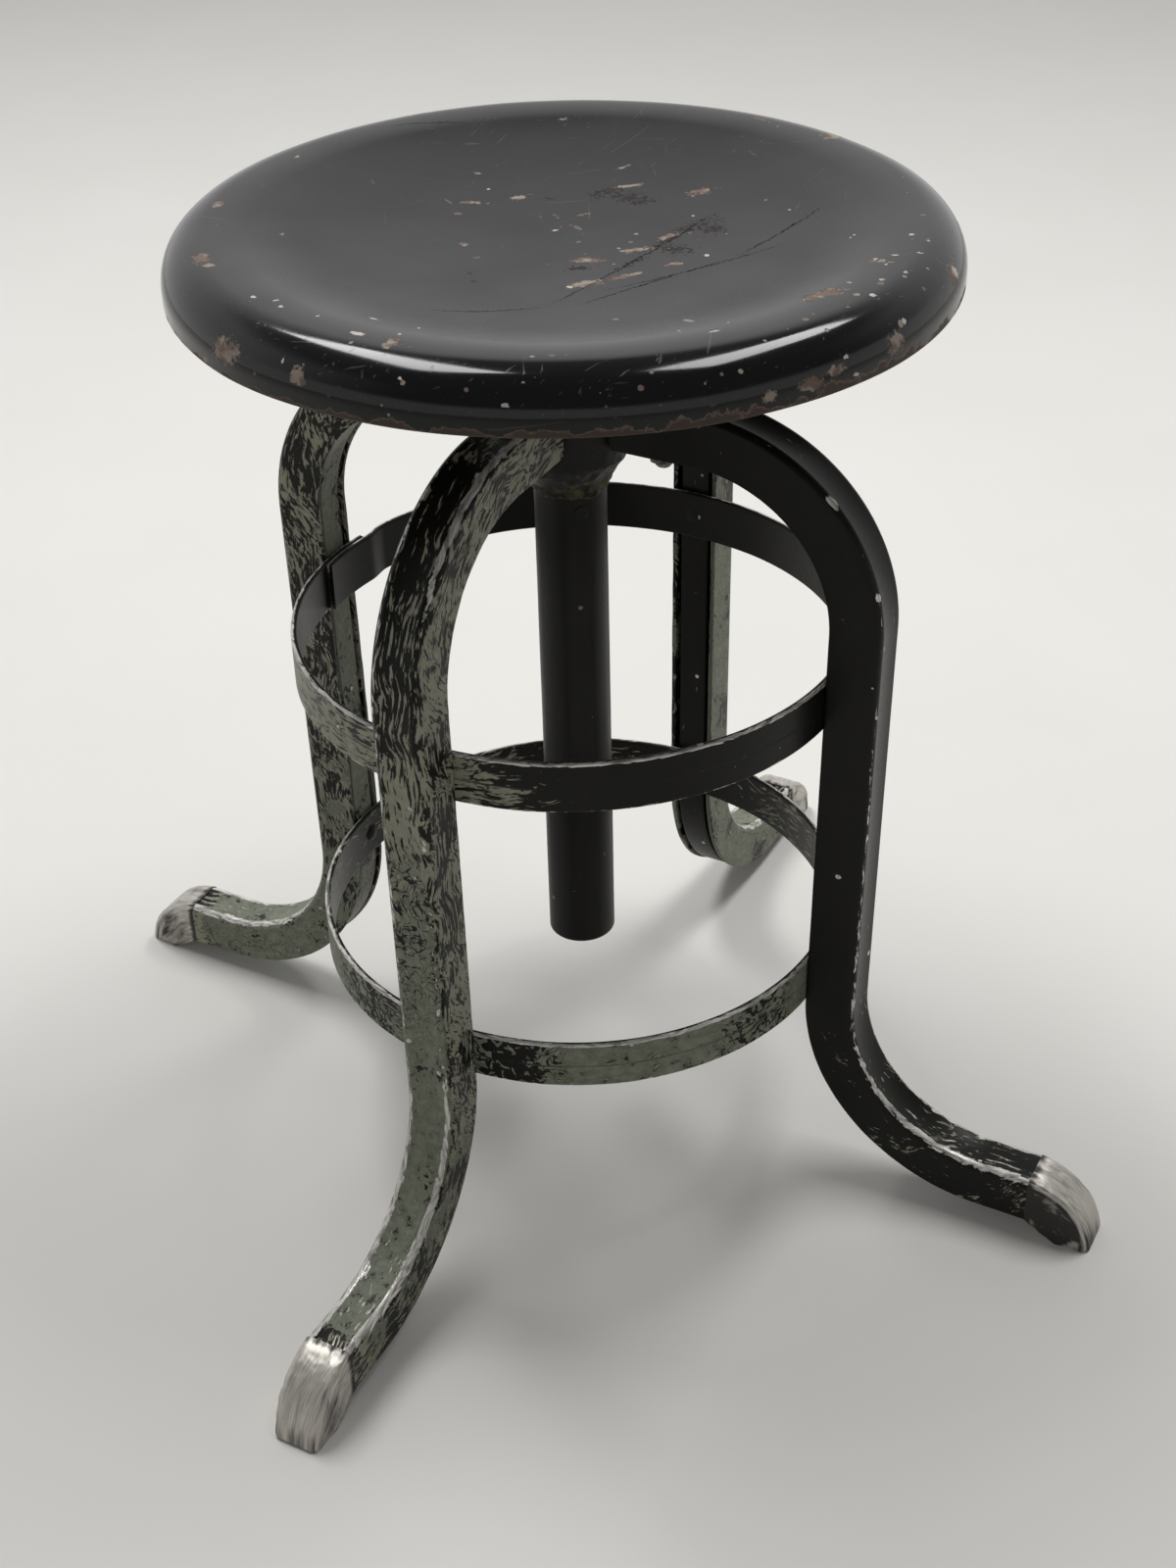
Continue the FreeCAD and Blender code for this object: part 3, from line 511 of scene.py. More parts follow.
def aged_enamel():
    """Black enamel over a sage undercoat on rolled steel, crackled and rubbed down.

    To the eye it is satin black, torn into feathery grey-green strokes, with broad patches
    of smooth sage with black flecks, and bright metal along the ridges that hands and boots
    rub. The marks say how much of each there is, and noise makes their borders ragged.
    """
    material, tree = new_material("aged_crackled_enamel")
    c = colours()
    skin = add(tree, "Attribute", attribute_name="skin")["Vector"]
    sage, crackle, cross, ridge = (
        add(tree, "Attribute", attribute_name=name)["Fac"] for name in ("sage", "crackle", "cross", "ridge"))
    fine = add(tree, "TexNoise", {"Vector": skin, "Scale": every(1.6), "Detail": 4.0})[0]
    broad = add(tree, "TexNoise", {"Vector": skin, "Scale": every(24), "Detail": 6.0, "Roughness": 0.6})[0]
    # Feathery strokes, repeating every 1.7 mm across and every 7 to 13 mm along, bent by a swirl
    swirl = add(tree, "TexNoise", {"Vector": skin, "Scale": every(30), "Detail": 1.0})
    push = add(tree, "VectorMath", {0: swirl["Color"], "Scale": 0.016}, operation="SCALE")[0]
    pushed = add(tree, "VectorMath", {0: skin, 1: push})[0]
    strokes = []
    for turn, stretch, apart in ((0.06, 7.5, 1.7), (0.7, 4.2, 1.7)):
        drawn = add(tree, "Mapping", {"Vector": pushed, "Rotation": (0, 0, turn),
                                      "Scale": (stretch, 1.0, 1.0)}, vector_type="TEXTURE")[0]
        strokes.append(add(tree, "TexNoise", {"Vector": drawn, "Scale": every(apart), "Detail": 3.0,
                                              "Roughness": 0.6, "Distortion": 0.25})[0])
    way = add(tree, "Math", {0: broad, 1: 5.0, 2: -3.0}, operation="MULTIPLY_ADD")[0]
    crossed = add(tree, "Math", {0: cross, 1: way}, use_clamp=True)[0]
    stroke = add(tree, "Mix", {0: crossed, 2: strokes[0], 3: strokes[1]})[0]
    drift = add(tree, "Math", {0: broad, 1: 0.55, 2: -0.275}, operation="MULTIPLY_ADD")[0]
    amount = add(tree, "Math", {0: crackle, 1: 0.22, 2: drift}, operation="MULTIPLY_ADD")[0]
    torn = add(tree, "Math", {0: stroke, 1: amount})[0]
    feather = add(tree, "MapRange", {"Value": torn, "From Min": 0.60, "From Max": 0.645})[0]
    # Sage patches with ragged borders, and the black flecks left on them, 1 to 6 mm
    flecks = add(tree, "TexNoise", {"Vector": skin, "Scale": every(6), "Detail": 6.0, "Roughness": 0.7})[0]
    patch = add(tree, "Math", {0: broad, 1: 2.2, 2: sage}, operation="MULTIPLY_ADD")[0]
    frayed = add(tree, "Math", {0: flecks, 1: 0.8, 2: patch}, operation="MULTIPLY_ADD")[0]
    green = add(tree, "MapRange", {"Value": frayed, "From Min": 2.0, "From Max": 2.06})[0]
    fleck = add(tree, "MapRange", {"Value": flecks, "From Min": 0.585, "From Max": 0.615})[0]
    # Worm-like cracks, up to about 2 mm wide, where the coat on the sage has crackled
    worms = add(tree, "TexNoise", {"Vector": skin, "Scale": every(6), "Detail": 2.0, "Distortion": 0.9})[0]
    middle = add(tree, "Math", {0: worms, 1: 0.5}, operation="SUBTRACT")[0]
    away = add(tree, "Math", {0: middle}, operation="ABSOLUTE")[0]
    loose = add(tree, "MapRange", {"Value": crackle, "From Min": 0.35, "From Max": 1.6, "To Min": -0.01,
                                   "To Max": 0.16})[0]
    inside = add(tree, "Math", {0: loose, 1: away}, operation="SUBTRACT")[0]
    seam = add(tree, "MapRange", {"Value": inside, "From Min": 0.0, "From Max": 0.012})[0]
    cover = add(tree, "Math", {0: fleck, 1: -0.93, 2: 1.0}, operation="MULTIPLY_ADD")[0]
    clean = add(tree, "Math", {0: green, 1: cover}, operation="MULTIPLY")[0]
    wormy = add(tree, "Math", {0: green, 1: seam}, operation="MULTIPLY")[0]
    # Bright metal on the ridges, in streaks, and a few nicks
    rubbed = add(tree, "Math", {0: strokes[0], 1: 1.5, 2: ridge}, operation="MULTIPLY_ADD")[0]
    ground = add(tree, "Math", {0: flecks, 1: 0.9, 2: rubbed}, operation="MULTIPLY_ADD")[0]
    metal = add(tree, "MapRange", {"Value": ground, "From Min": 1.72, "From Max": 1.86})[0]
    cells = add(tree, "TexVoronoi", {"Vector": skin, "Scale": every(15)})
    luck = add(tree, "SeparateColor", {"Color": cells["Color"]})
    size = add(tree, "Math", {0: luck["Green"], 1: 0.17, 2: -0.1}, operation="MULTIPLY_ADD")[0]
    uneven = add(tree, "Math", {0: fine, 1: 0.1, 2: size}, operation="MULTIPLY_ADD")[0]
    struck = add(tree, "Math", {0: uneven, 1: cells["Distance"]}, operation="SUBTRACT")[0]
    nick = add(tree, "MapRange", {"Value": struck, "From Min": 0.0, "From Max": 0.02})[0]
    bright = add(tree, "Math", {0: metal, 1: nick}, operation="MAXIMUM")[0]
    # Colour
    dusty = add(tree, "Mix", {0: broad, MIX_A: rgba(c.leg_black), MIX_B: rgba(linear("#16150f"))},
                data_type="RGBA")[MIX_RESULT]
    pale = add(tree, "Mix", {0: flecks, MIX_A: rgba(linear("#63665a")), MIX_B: rgba(c.feather)},
               data_type="RGBA")[MIX_RESULT]
    cracked = add(tree, "Mix", {0: feather, MIX_A: dusty, MIX_B: pale}, data_type="RGBA")[MIX_RESULT]
    tone = add(tree, "MapRange", {"Value": flecks, "From Min": 0.3, "From Max": 0.6})[0]
    undercoat = add(tree, "Mix", {0: tone, MIX_A: rgba(c.sage), MIX_B: rgba(linear("#666a5b"))},
                    data_type="RGBA")[MIX_RESULT]
    patched = add(tree, "Mix", {0: clean, MIX_A: cracked, MIX_B: undercoat}, data_type="RGBA")[MIX_RESULT]
    wormed = add(tree, "Mix", {0: wormy, MIX_A: patched, MIX_B: dusty}, data_type="RGBA")[MIX_RESULT]
    drawn_out = add(tree, "MapRange", {"Value": strokes[0], "From Min": 0.36, "From Max": 0.6})[0]
    steel = add(tree, "Mix", {0: drawn_out, MIX_A: rgba(linear("#84817b")), MIX_B: rgba(c.worn)},
                data_type="RGBA")[MIX_RESULT]
    seen = add(tree, "Mix", {0: bright, MIX_A: wormed, MIX_B: steel}, data_type="RGBA")[MIX_RESULT]
    # Roughness: 0.25 to 0.45 black, 0.5 sage and strokes, 0.36 metal
    duller = add(tree, "Math", {0: clean, 1: feather}, operation="MAXIMUM")[0]
    satin = add(tree, "MapRange", {"Value": fine, "To Min": 0.25, "To Max": 0.45})[0]
    chalky = add(tree, "MapRange", {"Value": duller, "To Min": satin, "To Max": 0.5})[0]
    rough = add(tree, "MapRange", {"Value": bright, "To Min": chalky, "To Max": 0.36})[0]
    shine = add(tree, "Math", {0: bright, 1: 0.35}, operation="MULTIPLY")[0]
    # Height: the torn coat stands 0.2 mm proud of the undercoat
    torn_off = add(tree, "Math", {0: clean, 1: wormy}, operation="SUBTRACT")[0]
    worn_down = add(tree, "Math", {0: torn_off, 1: -0.8, 2: feather}, operation="MULTIPLY_ADD")[0]
    bared = add(tree, "Math", {0: bright, 1: -0.9, 2: worn_down}, operation="MULTIPLY_ADD")[0]
    grain = add(tree, "Math", {0: fine, 1: 0.35, 2: bared}, operation="MULTIPLY_ADD")[0]
    bump = add(tree, "Bump", {"Height": grain, "Distance": 0.2 * MM, "Strength": 0.8})[0]
    surface = add(tree, "BsdfPrincipled", {"Base Color": seen, "Metallic": shine, "Roughness": rough,
                                           "Normal": bump, "IOR": ENAMEL_IOR,
                                           "Specular IOR Level": DULL_SPECULAR})[0]
    add(tree, "OutputMaterial", {"Surface": surface})
    return material


def cap_metal():
    """Cast iron ground bare by use and wire-brushed.

    To the eye it is pinkish grey metal with fine brush lines and a satin sheen, pitted here and there, and
    nearly black where the mark says. That mark is partly real staining and partly painted shade on the sides
    turned away from the lamps, and it leaves a thin bright line along the shoulders as a painted highlight.
    """
    material, tree = new_material("wire_brushed_cast_iron")
    c = colours()
    skin = add(tree, "Attribute", attribute_name="skin")["Vector"]
    stain_and_shade_mark = add(tree, "Attribute", attribute_name="stain_and_shade")["Fac"]
    brushed = add(tree, "Mapping", {"Vector": skin, "Rotation": (0, 0, 0.1), "Scale": (11.0, 1.0, 1.0)},
                  vector_type="TEXTURE")[0]
    strokes = add(tree, "TexNoise", {"Vector": brushed, "Scale": every(0.8), "Detail": 4.0})[0]
    smeared = add(tree, "Mapping", {"Vector": skin, "Rotation": (0, 0, -0.15), "Scale": (3.2, 1.0, 1.0)},
                  vector_type="TEXTURE")[0]
    cloud = add(tree, "TexNoise", {"Vector": smeared, "Scale": every(5), "Detail": 7.0, "Roughness": 0.62})[0]
    pits = add(tree, "TexNoise", {"Vector": skin, "Scale": every(2.4), "Detail": 4.0, "Roughness": 0.6})[0]
    pit = add(tree, "MapRange", {"Value": pits, "From Min": 0.66, "From Max": 0.72})[0]
    streaked = add(tree, "Math", {0: strokes, 1: 0.5, 2: stain_and_shade_mark}, operation="MULTIPLY_ADD")[0]
    amount = add(tree, "Math", {0: cloud, 1: 2.2, 2: streaked}, operation="MULTIPLY_ADD")[0]
    dark = add(tree, "MapRange", {"Value": amount, "From Min": 1.4, "From Max": 1.9})[0]
    pitted = add(tree, "Math", {0: pit, 1: 0.6}, operation="MULTIPLY")[0]
    # Dark where the mark is high: real staining and pits, with painted shade from the mark
    grime_and_shade = add(tree, "Math", {0: dark, 1: pitted}, operation="MAXIMUM")[0]
    lit = add(tree, "MapRange", {"Value": strokes, "From Min": 0.35, "From Max": 0.65})[0]
    bare = add(tree, "Mix", {0: lit, MIX_A: rgba(linear("#a39e96")), MIX_B: rgba(c.cap)},
               data_type="RGBA")[MIX_RESULT]
    seen = add(tree, "Mix", {0: grime_and_shade, MIX_A: bare, MIX_B: rgba(c.stain_and_shade)}, data_type="RGBA")[MIX_RESULT]
    shine = add(tree, "MapRange", {"Value": grime_and_shade, "To Min": 0.6, "To Max": 0.2})[0]
    brush = add(tree, "MapRange", {"Value": strokes, "To Min": 0.34, "To Max": 0.5})[0]
    rough = add(tree, "MapRange", {"Value": grime_and_shade, "To Min": brush, "To Max": 0.55})[0]
    height = add(tree, "Math", {0: pit, 1: -1.0, 2: strokes}, operation="MULTIPLY_ADD")[0]
    bump = add(tree, "Bump", {"Height": height, "Distance": 0.06 * MM, "Strength": 0.6})[0]
    surface = add(tree, "BsdfPrincipled", {"Base Color": seen, "Metallic": shine, "Roughness": rough,
                                           "Normal": bump})[0]
    add(tree, "OutputMaterial", {"Surface": surface})
    return material


def rough_casting():
    """Sand-cast iron brushed with black enamel, with old grease around the screw.

    To the eye it is grainy satin black, with dull yellow-brown crusts by the collar.
    """
    material, tree = new_material("enamelled_sand_casting")
    c = colours()
    place = add(tree, "TexCoord")["Object"]
    greasy = add(tree, "Attribute", attribute_name="grease")["Fac"]
    sand = add(tree, "TexNoise", {"Vector": place, "Scale": every(1.4), "Detail": 5.0, "Roughness": 0.65})[0]
    crust = add(tree, "TexNoise", {"Vector": place, "Scale": every(5), "Detail": 6.0, "Roughness": 0.6})[0]
    amount = add(tree, "Math", {0: crust, 1: 1.6, 2: greasy}, operation="MULTIPLY_ADD")[0]
    lump = add(tree, "MapRange", {"Value": amount, "From Min": 1.38, "From Max": 1.62})[0]
    tone = add(tree, "Mix", {0: sand, MIX_A: rgba(c.leg_black), MIX_B: rgba(linear("#2b2a26"))},
               data_type="RGBA")[MIX_RESULT]
    seen = add(tree, "Mix", {0: lump, MIX_A: tone, MIX_B: rgba(c.grease)}, data_type="RGBA")[MIX_RESULT]
    rough = add(tree, "MapRange", {"Value": lump, "To Min": 0.42, "To Max": 0.68})[0]
    height = add(tree, "Math", {0: lump, 1: 1.3, 2: sand}, operation="MULTIPLY_ADD")[0]
    bump = add(tree, "Bump", {"Height": height, "Distance": 0.45 * MM, "Strength": 0.9})[0]
    surface = add(tree, "BsdfPrincipled", {"Base Color": seen, "Roughness": rough, "Normal": bump,
                                           "IOR": ENAMEL_IOR, "Specular IOR Level": DULL_SPECULAR})[0]
    add(tree, "OutputMaterial", {"Surface": surface})
    return material


def tube_enamel():
    """Satin black enamel on drawn tube.

    To the eye it is plain black with a soft upright highlight, faint dust streaks and a
    few pale nicks where the paint has been knocked off.
    """
    material, tree = new_material("satin_enamel_on_tube")
    c = colours()
    place = add(tree, "TexCoord")["Object"]
    marks = add(tree, "Attribute", attribute_name="chips")["Fac"]
    fine = add(tree, "TexNoise", {"Vector": place, "Scale": every(1.8), "Detail": 5.0})[0]
    pulled = add(tree, "Mapping", {"Vector": place, "Scale": (1.0, 1.0, 0.1)})[0]
    streaks = add(tree, "TexNoise", {"Vector": pulled, "Scale": every(5), "Detail": 4.0})[0]
    cells = add(tree, "TexVoronoi", {"Vector": place, "Scale": every(13)})
    luck = add(tree, "SeparateColor", {"Color": cells["Color"]})
    size = add(tree, "Math", {0: luck["Blue"], 1: 0.17, 2: -0.115}, operation="MULTIPLY_ADD")[0]
    uneven = add(tree, "Math", {0: fine, 1: 0.09, 2: size}, operation="MULTIPLY_ADD")[0]
    struck = add(tree, "Math", {0: uneven, 1: cells["Distance"]}, operation="SUBTRACT")[0]
    nick = add(tree, "MapRange", {"Value": struck, "From Min": 0.0, "From Max": 0.02})[0]
    edge = add(tree, "Math", {0: fine, 1: 1.2, 2: marks}, operation="MULTIPLY_ADD")[0]
    mark = add(tree, "MapRange", {"Value": edge, "From Min": 1.15, "From Max": 1.25})[0]
    broken = add(tree, "Math", {0: nick, 1: mark}, operation="MAXIMUM")[0]
    tone = add(tree, "Mix", {0: streaks, MIX_A: rgba(c.leg_black), MIX_B: rgba(linear("#22211d"))},
               data_type="RGBA")[MIX_RESULT]
    seen = add(tree, "Mix", {0: broken, MIX_A: tone, MIX_B: rgba(c.bare)}, data_type="RGBA")[MIX_RESULT]
    satin = add(tree, "MapRange", {"Value": streaks, "To Min": 0.28, "To Max": 0.5})[0]
    rough = add(tree, "MapRange", {"Value": broken, "To Min": satin, "To Max": 0.6})[0]
    height = add(tree, "Math", {0: broken, 1: -1.2, 2: fine}, operation="MULTIPLY_ADD")[0]
    bump = add(tree, "Bump", {"Height": height, "Distance": 0.1 * MM, "Strength": 0.7})[0]
    surface = add(tree, "BsdfPrincipled", {"Base Color": seen, "Roughness": rough, "Normal": bump,
                                           "IOR": ENAMEL_IOR, "Specular IOR Level": DULL_SPECULAR})[0]
    add(tree, "OutputMaterial", {"Surface": surface})
    return material


def machined_steel(name, shade, stain_shade, dirt):
    """Turned or plated steel gone dull.

    To the eye it is grey metal with fine lathe or plating grain and brown-black oil in
    patches; `dirt` is how much of it is covered.
    """
    material, tree = new_material(name)
    place = add(tree, "TexCoord")["Object"]
    grain = add(tree, "TexNoise", {"Vector": place, "Scale": every(0.8), "Detail": 4.0})[0]
    cloud = add(tree, "TexNoise", {"Vector": place, "Scale": every(5), "Detail": 6.0, "Roughness": 0.62})[0]
    oily = add(tree, "MapRange", {"Value": cloud, "From Min": 0.62 - dirt, "From Max": 0.78 - dirt})[0]
    seen = add(tree, "Mix", {0: oily, MIX_A: rgba(linear(shade)), MIX_B: rgba(linear(stain_shade))},
               data_type="RGBA")[MIX_RESULT]
    shine = add(tree, "MapRange", {"Value": oily, "To Min": 1.0, "To Max": 0.35})[0]
    rough = add(tree, "MapRange", {"Value": grain, "From Min": 0.3, "From Max": 0.7, "To Min": 0.28,
                                   "To Max": 0.5})[0]
    bump = add(tree, "Bump", {"Height": grain, "Distance": 0.05 * MM, "Strength": 0.5})[0]
    surface = add(tree, "BsdfPrincipled", {"Base Color": seen, "Metallic": shine, "Roughness": rough,
                                           "Normal": bump})[0]
    add(tree, "OutputMaterial", {"Surface": surface})
    return material


# Seat


# Points round the pan
PAN_SPOKES = 560
# Radius and wall of the boss on the seat's flange, rise of the flange's plate above the boss's foot
BOSS_RADIUS, BOSS_WALL, PLATE_RISE = 19.0, 8.98, 36.6
# Radius of the studs, their distance from the axis, and how far they run below and above the plate
STUD_RADIUS, STUD_REACH, STUD_BELOW, STUD_ABOVE = 3.0, 47.0, 7.0, 9.0
STUD_NUT_FLATS, STUD_NUT_HEIGHT = 10.0, 5.0
# Middle x, y and spread of the wear from sitting; azimuths where the rim is worn most and where the
# skirt's rust climbs highest
DISH_WEAR = (28, -5, 62)
RIM_WORN_AT, RUST_HIGH_AT = 310, 288
# Chips in the dish: x, y, half length, half width, direction in degrees
DISH_CHIPS = [
    (-27, 58, 6.2, 2.1, -20), (-4, 58, 6.6, 1.9, 17), (-43, 11, 2.4, 2.1, -12), (-42, -6, 3, 1.1, -13),
    (11, 17, 4.7, 1.6, -67), (19, 30, 4.1, 1.3, 2), (51, 73, 5, 1.4, 19), (47, 53, 7.9, 1.8, -14),
    (76, 31, 6.2, 3.6, 1), (78, 13, 3.5, 0.9, -82), (28, -21, 7.5, 3.1, -7), (45, -12, 6.2, 2.3, 17),
    (4, -25, 8.9, 3.4, -15), (-6, -53, 10, 3.7, 5), (13, -51, 11, 2.3, 7), (36, -46, 5, 2.2, -10),
    (15, -125, 3, 1.6, -54), (-10, -107, 1.9, 1.3, -28), (98, 5, 2.9, 0.7, 54), (72, -125, 9.7, 4.8, 10),
    (-37, 62, 4.3, 0.9, -75), (-16, 90, 2.3, 1.3, -20), (-36, 47, 2.2, 1.6, 2), (6, 33, 1.8, 0.9, -57),
    (40, 132, 2.6, 1.2, 15), (128, 92, 4, 1.2, 120), (-96, 118, 3, 1.4, 40), (-120, 30, 2.4, 1, 80),
]
# Nicks and scorched patches in the dish, given alike
DISH_NICKS = [
    (1, 16, 1.8, 1.0, 0), (52, -43, 2.4, 1.3, -90), (-14, -55, 1.9, 1.4, -58), (-15, 71, 1.5, 1, 0),
    (102, -13, 1.6, 1, -90), (63, 6, 1.6, 1, -80), (112, -62, 3, 0.9, 40), (-104, -82, 3.4, 0.8, 130),
]
SCORCHES = [
    (35, 49, 9.5, 5.4, 16), (44, 39, 11.5, 5.6, -48), (46, 32, 5, 2.6, -20), (60, -6, 13, 4.8, 20),
    (66, -14, 7, 5.2, -61), (42, -28, 8, 6, -42), (-3, -33, 7, 2.6, 0), (20, -36, 14, 2.2, 38),
    (9, 53, 2, 1.3, -58), (-50, -25, 2, 1.8, 0), (-51, -36, 2, 1.2, -60), (44, -16, 16, 3, 36),
]
# Scores in the dish: three points x, y on each arc
SCORES = [
    ((-82, -70), (-57, -77), (-30, -78)), ((-34, -80), (8, -45), (82, 10)),
    ((-20, -82), (19, -64), (61, -52)), ((61, -52), (91, -35), (119, -17)),
    ((-6, -66), (44, -57), (90, -49)),
]
# Chips and nicks on the rim: azimuth in degrees, distance from the skirt's foot, half width, half height
RIM_CHIPS = [
    (202.8, 11.3, 8.9, 5.6), (217.2, 12.8, 3.8, 3.8), (179.5, 34.1, 6.7, 3.9), (183, 35.8, 2.9, 2.8),
    (227.8, 38.4, 3.4, 5.4), (197.8, 2, 3.7, 1.6), (301.8, 10, 4.9, 4.9), (279.8, 6.3, 3.6, 2.6),
    (290.2, 9.3, 5, 2.2), (286.2, 7, 5.4, 3), (323, 15.8, 5.6, 4.5), (317.2, 46.9, 2.6, 4.9),
    (20, 34, 6, 4), (100, 30, 7, 4), (140, 20, 6, 5), (155, 38, 5, 3), (60, 12, 8, 4), (83, 9, 5, 3),
    (122, 14, 4, 5), (35, 14, 4, 3), (5, 12, 6, 4),
]
RIM_NICKS = [
    (221.5, 41.1, 4.7, 2), (198.8, 39.1, 2.2, 1.6), (204.5, 42.7, 2, 1.3), (227, 49.5, 1.5, 1.4),
    (214.2, 17, 1, 2), (201.8, 45, 0.9, 2), (211.5, 46.6, 1, 1.5), (227.5, 62.3, 1, 1.3),
    (324, 16, 2.6, 3.5), (314, 32.8, 1.3, 2), (309.5, 37.5, 1.3, 2), (303.8, 32.6, 1.7, 2.1),
    (322, 33.6, 1.2, 1.5), (327.5, 33.1, 1.1, 2), (329.5, 41.1, 1.4, 2), (320, 43.3, 1.3, 2.4),
    (306.5, 48.9, 1.2, 2), (292.2, 13, 1.7, 1.2), (304.8, 16, 1.8, 1.5), (277, 47.2, 4.2, 1),
    (281.2, 54.1, 1.2, 1.6), (272.5, 55.9, 1, 1.6), (293.8, 4.4, 2, 1), (246, 13, 2.2, 0.9),
    (258, 17, 1.2, 1), (236, 26, 1, 1.6), (316, 43, 1.6, 1.2), (318, 50, 1.4, 1.8), (232, 20, 1.3, 1),
]


def dish_outline(sizes, inset, counts):
    """The pan's profile, `inset` below its upper face, from the axis to the skirt's foot.

    A hollow sphere meets a rounded crest tangentially, then come the rim's quarter circle
    and the straight skirt.
    """
    crest = sizes.radius - sizes.rim
    span = (crest**2 + sizes.dish**2) / (2 * sizes.dish)
    hollow = span - sizes.blend
    hollow_centre = (0, sizes.top - sizes.dish + hollow)
    crest_centre = (crest, sizes.top - sizes.blend)
    rim_centre = (crest, sizes.top - sizes.rim)
    slope = math.degrees(math.atan2(crest, hollow_centre[1] - crest_centre[1]))
    foot = sizes.top - sizes.side
    side = sizes.radius - inset
    pieces = [
        arc_points(hollow_centre, hollow + inset, -90, -90 + slope, counts[0]),
        arc_points(crest_centre, sizes.blend - inset, 90 + slope, 90, counts[1])[1:],
        arc_points(rim_centre, sizes.rim - inset, 90, 0, counts[2])[1:],
        straight((side, rim_centre[1]), (side, foot), counts[3])[1:],
    ]
    outline = np.concatenate(pieces)
    outline[0, 0] = 0
    return outline


def nearness(along, across, spots):
    """How near each point is to a set of oval spots: 1 in a spot's middle and 0 on its edge.

    It is 1 less the distance from the middle, measured in half lengths and half widths.
    """
    best = np.full(along.shape, -1.0)
    for u, v, long, wide, turn in spots:
        a = math.radians(turn)
        du, dv = along - u, across - v
        run, rise = du * math.cos(a) + dv * math.sin(a), dv * math.cos(a) - du * math.sin(a)
        best = np.maximum(best, 1 - np.hypot(run / long, rise / wide))
    return best


def rim_nearness(azimuth, from_foot, radius, spots):
    """The same for spots on a rim, given by azimuth and distance from the foot."""
    best = np.full(azimuth.shape, -1.0)
    for angle, back, wide, high in spots:
        along = ((azimuth - angle + 180) % 360 - 180) * math.radians(radius)
        best = np.maximum(best, 1 - np.hypot(along / wide, (from_foot - back) / high))
    return best


def score_marks(x, y, ends):
    """Distance in metres from the circle through three points, and a fading to its ends.

    The circle's middle is where the three points' perpendicular bisectors meet.
    """
    a, b, c = (np.array(end, float) for end in ends)
    sides = 2 * np.array([b - a, c - a])
    middle = np.linalg.solve(sides, np.array([b @ b - a @ a, c @ c - a @ a]))
    out = np.hypot(x - middle[0], y - middle[1]) - np.linalg.norm(a - middle)
    span = c - a
    run = ((x - a[0]) * span[0] + (y - a[1]) * span[1]) / (span @ span)
    near = smooth(np.abs(out), 40, 20)
    return np.stack([out * MM, (1 - (2 * run - 1) ** 4) * near, 0 * out], axis=-1)


class STOOL_OT_seat_pan(bpy.types.Operator):
    """Presses the dished pan with its rolled rim, chips and rusty edge"""

    bl_idname = "stool.seat_pan"
    bl_label = "Seat pan"

    def execute(self, context):
        sizes = context.scene.stool_seat
        upper = dish_outline(sizes, 0.0, (78, 16, 26, 7))
        lower = dish_outline(sizes, sizes.sheet, (18, 5, 9, 3))[::-1]
        foot, half = sizes.top - sizes.side, sizes.sheet / 2
        upper[-1, 1] += half
        lower[0, 1] += half
        hem = arc_points((sizes.radius - half, foot + half), half, 0, -180, 8)[1:-1]
        profile = np.concatenate([upper, hem, lower])
        shape = turned(profile, PAN_SPOKES)
        points = shape[0]
        travelled = travel(profile)
        back = travelled[len(upper)] - travelled
        from_foot = np.concatenate([np.repeat(back[1:-1], PAN_SPOKES), back[[0, -1]]])
        on_top = from_foot > -sizes.sheet
        radius, azimuth = from_axis(points), bearings(points)
        # Long waves and a quarter as much of short ones, none at the very middle
        flat = points * [1, 1, 0]
        lift = ripple(flat, 130, 11) * sizes.waviness + ripple(flat, 45, 12) * sizes.waviness * 0.25
        points[:, 2] += lift * smooth(radius, 0, 40)
        swell = 1 + ripple(flat, 90, 13) * sizes.waviness / sizes.radius
        points[:, :2] *= swell[:, None]
        x, y = points[:, 0], points[:, 1]
        rim_spots = (azimuth, from_foot, sizes.radius)
        chips = np.maximum(nearness(x, y, DISH_CHIPS), rim_nearness(*rim_spots, RIM_CHIPS))
        nicks = np.maximum(nearness(x, y, DISH_NICKS), rim_nearness(*rim_spots, RIM_NICKS))
        worn_x, worn_y, spread = DISH_WEAR
        dish_wear = np.exp(-((np.hypot(x - worn_x, y - worn_y) / spread) ** 2))
        rim_wear = smooth(radius, 138, 160) * (0.62 + 0.34 * np.cos(np.radians(azimuth - RIM_WORN_AT)))
        # The rust's mark falls by 1 over 2.5 mm up the skirt, and over 9 mm at RUST_HIGH_AT
        rusty_side = np.cos(np.radians(azimuth - RUST_HIGH_AT)) * 0.5 + 0.5
        hem_rust = 0.35 - from_foot / (2.5 + 6.5 * rusty_side**3)
        marks = {
            "chips": np.where(on_top, chips, -1.0),
            "nicks": np.where(on_top, nicks, -1.0),
            "scorch": np.where(on_top, nearness(x, y, SCORCHES), -1.0),
            "wear": np.where(on_top, np.maximum(dish_wear * 0.9, rim_wear), 0.9),
            "hem": np.where(on_top, hem_rust, -0.25 + 0.5 * smooth(radius, 60, 176)),
            "dull": np.where(on_top, 1 - smooth(radius, 110, 158), 1.6),
        }
        for number, ends in enumerate(SCORES):
            marks[f"score_{number}"] = score_marks(x, y, ends) * on_top[:, None]
        add_piece("pressed_seat_pan", shape, "seat", seat_enamel(), ["seat_pan"], marks)
        return {"FINISHED"}


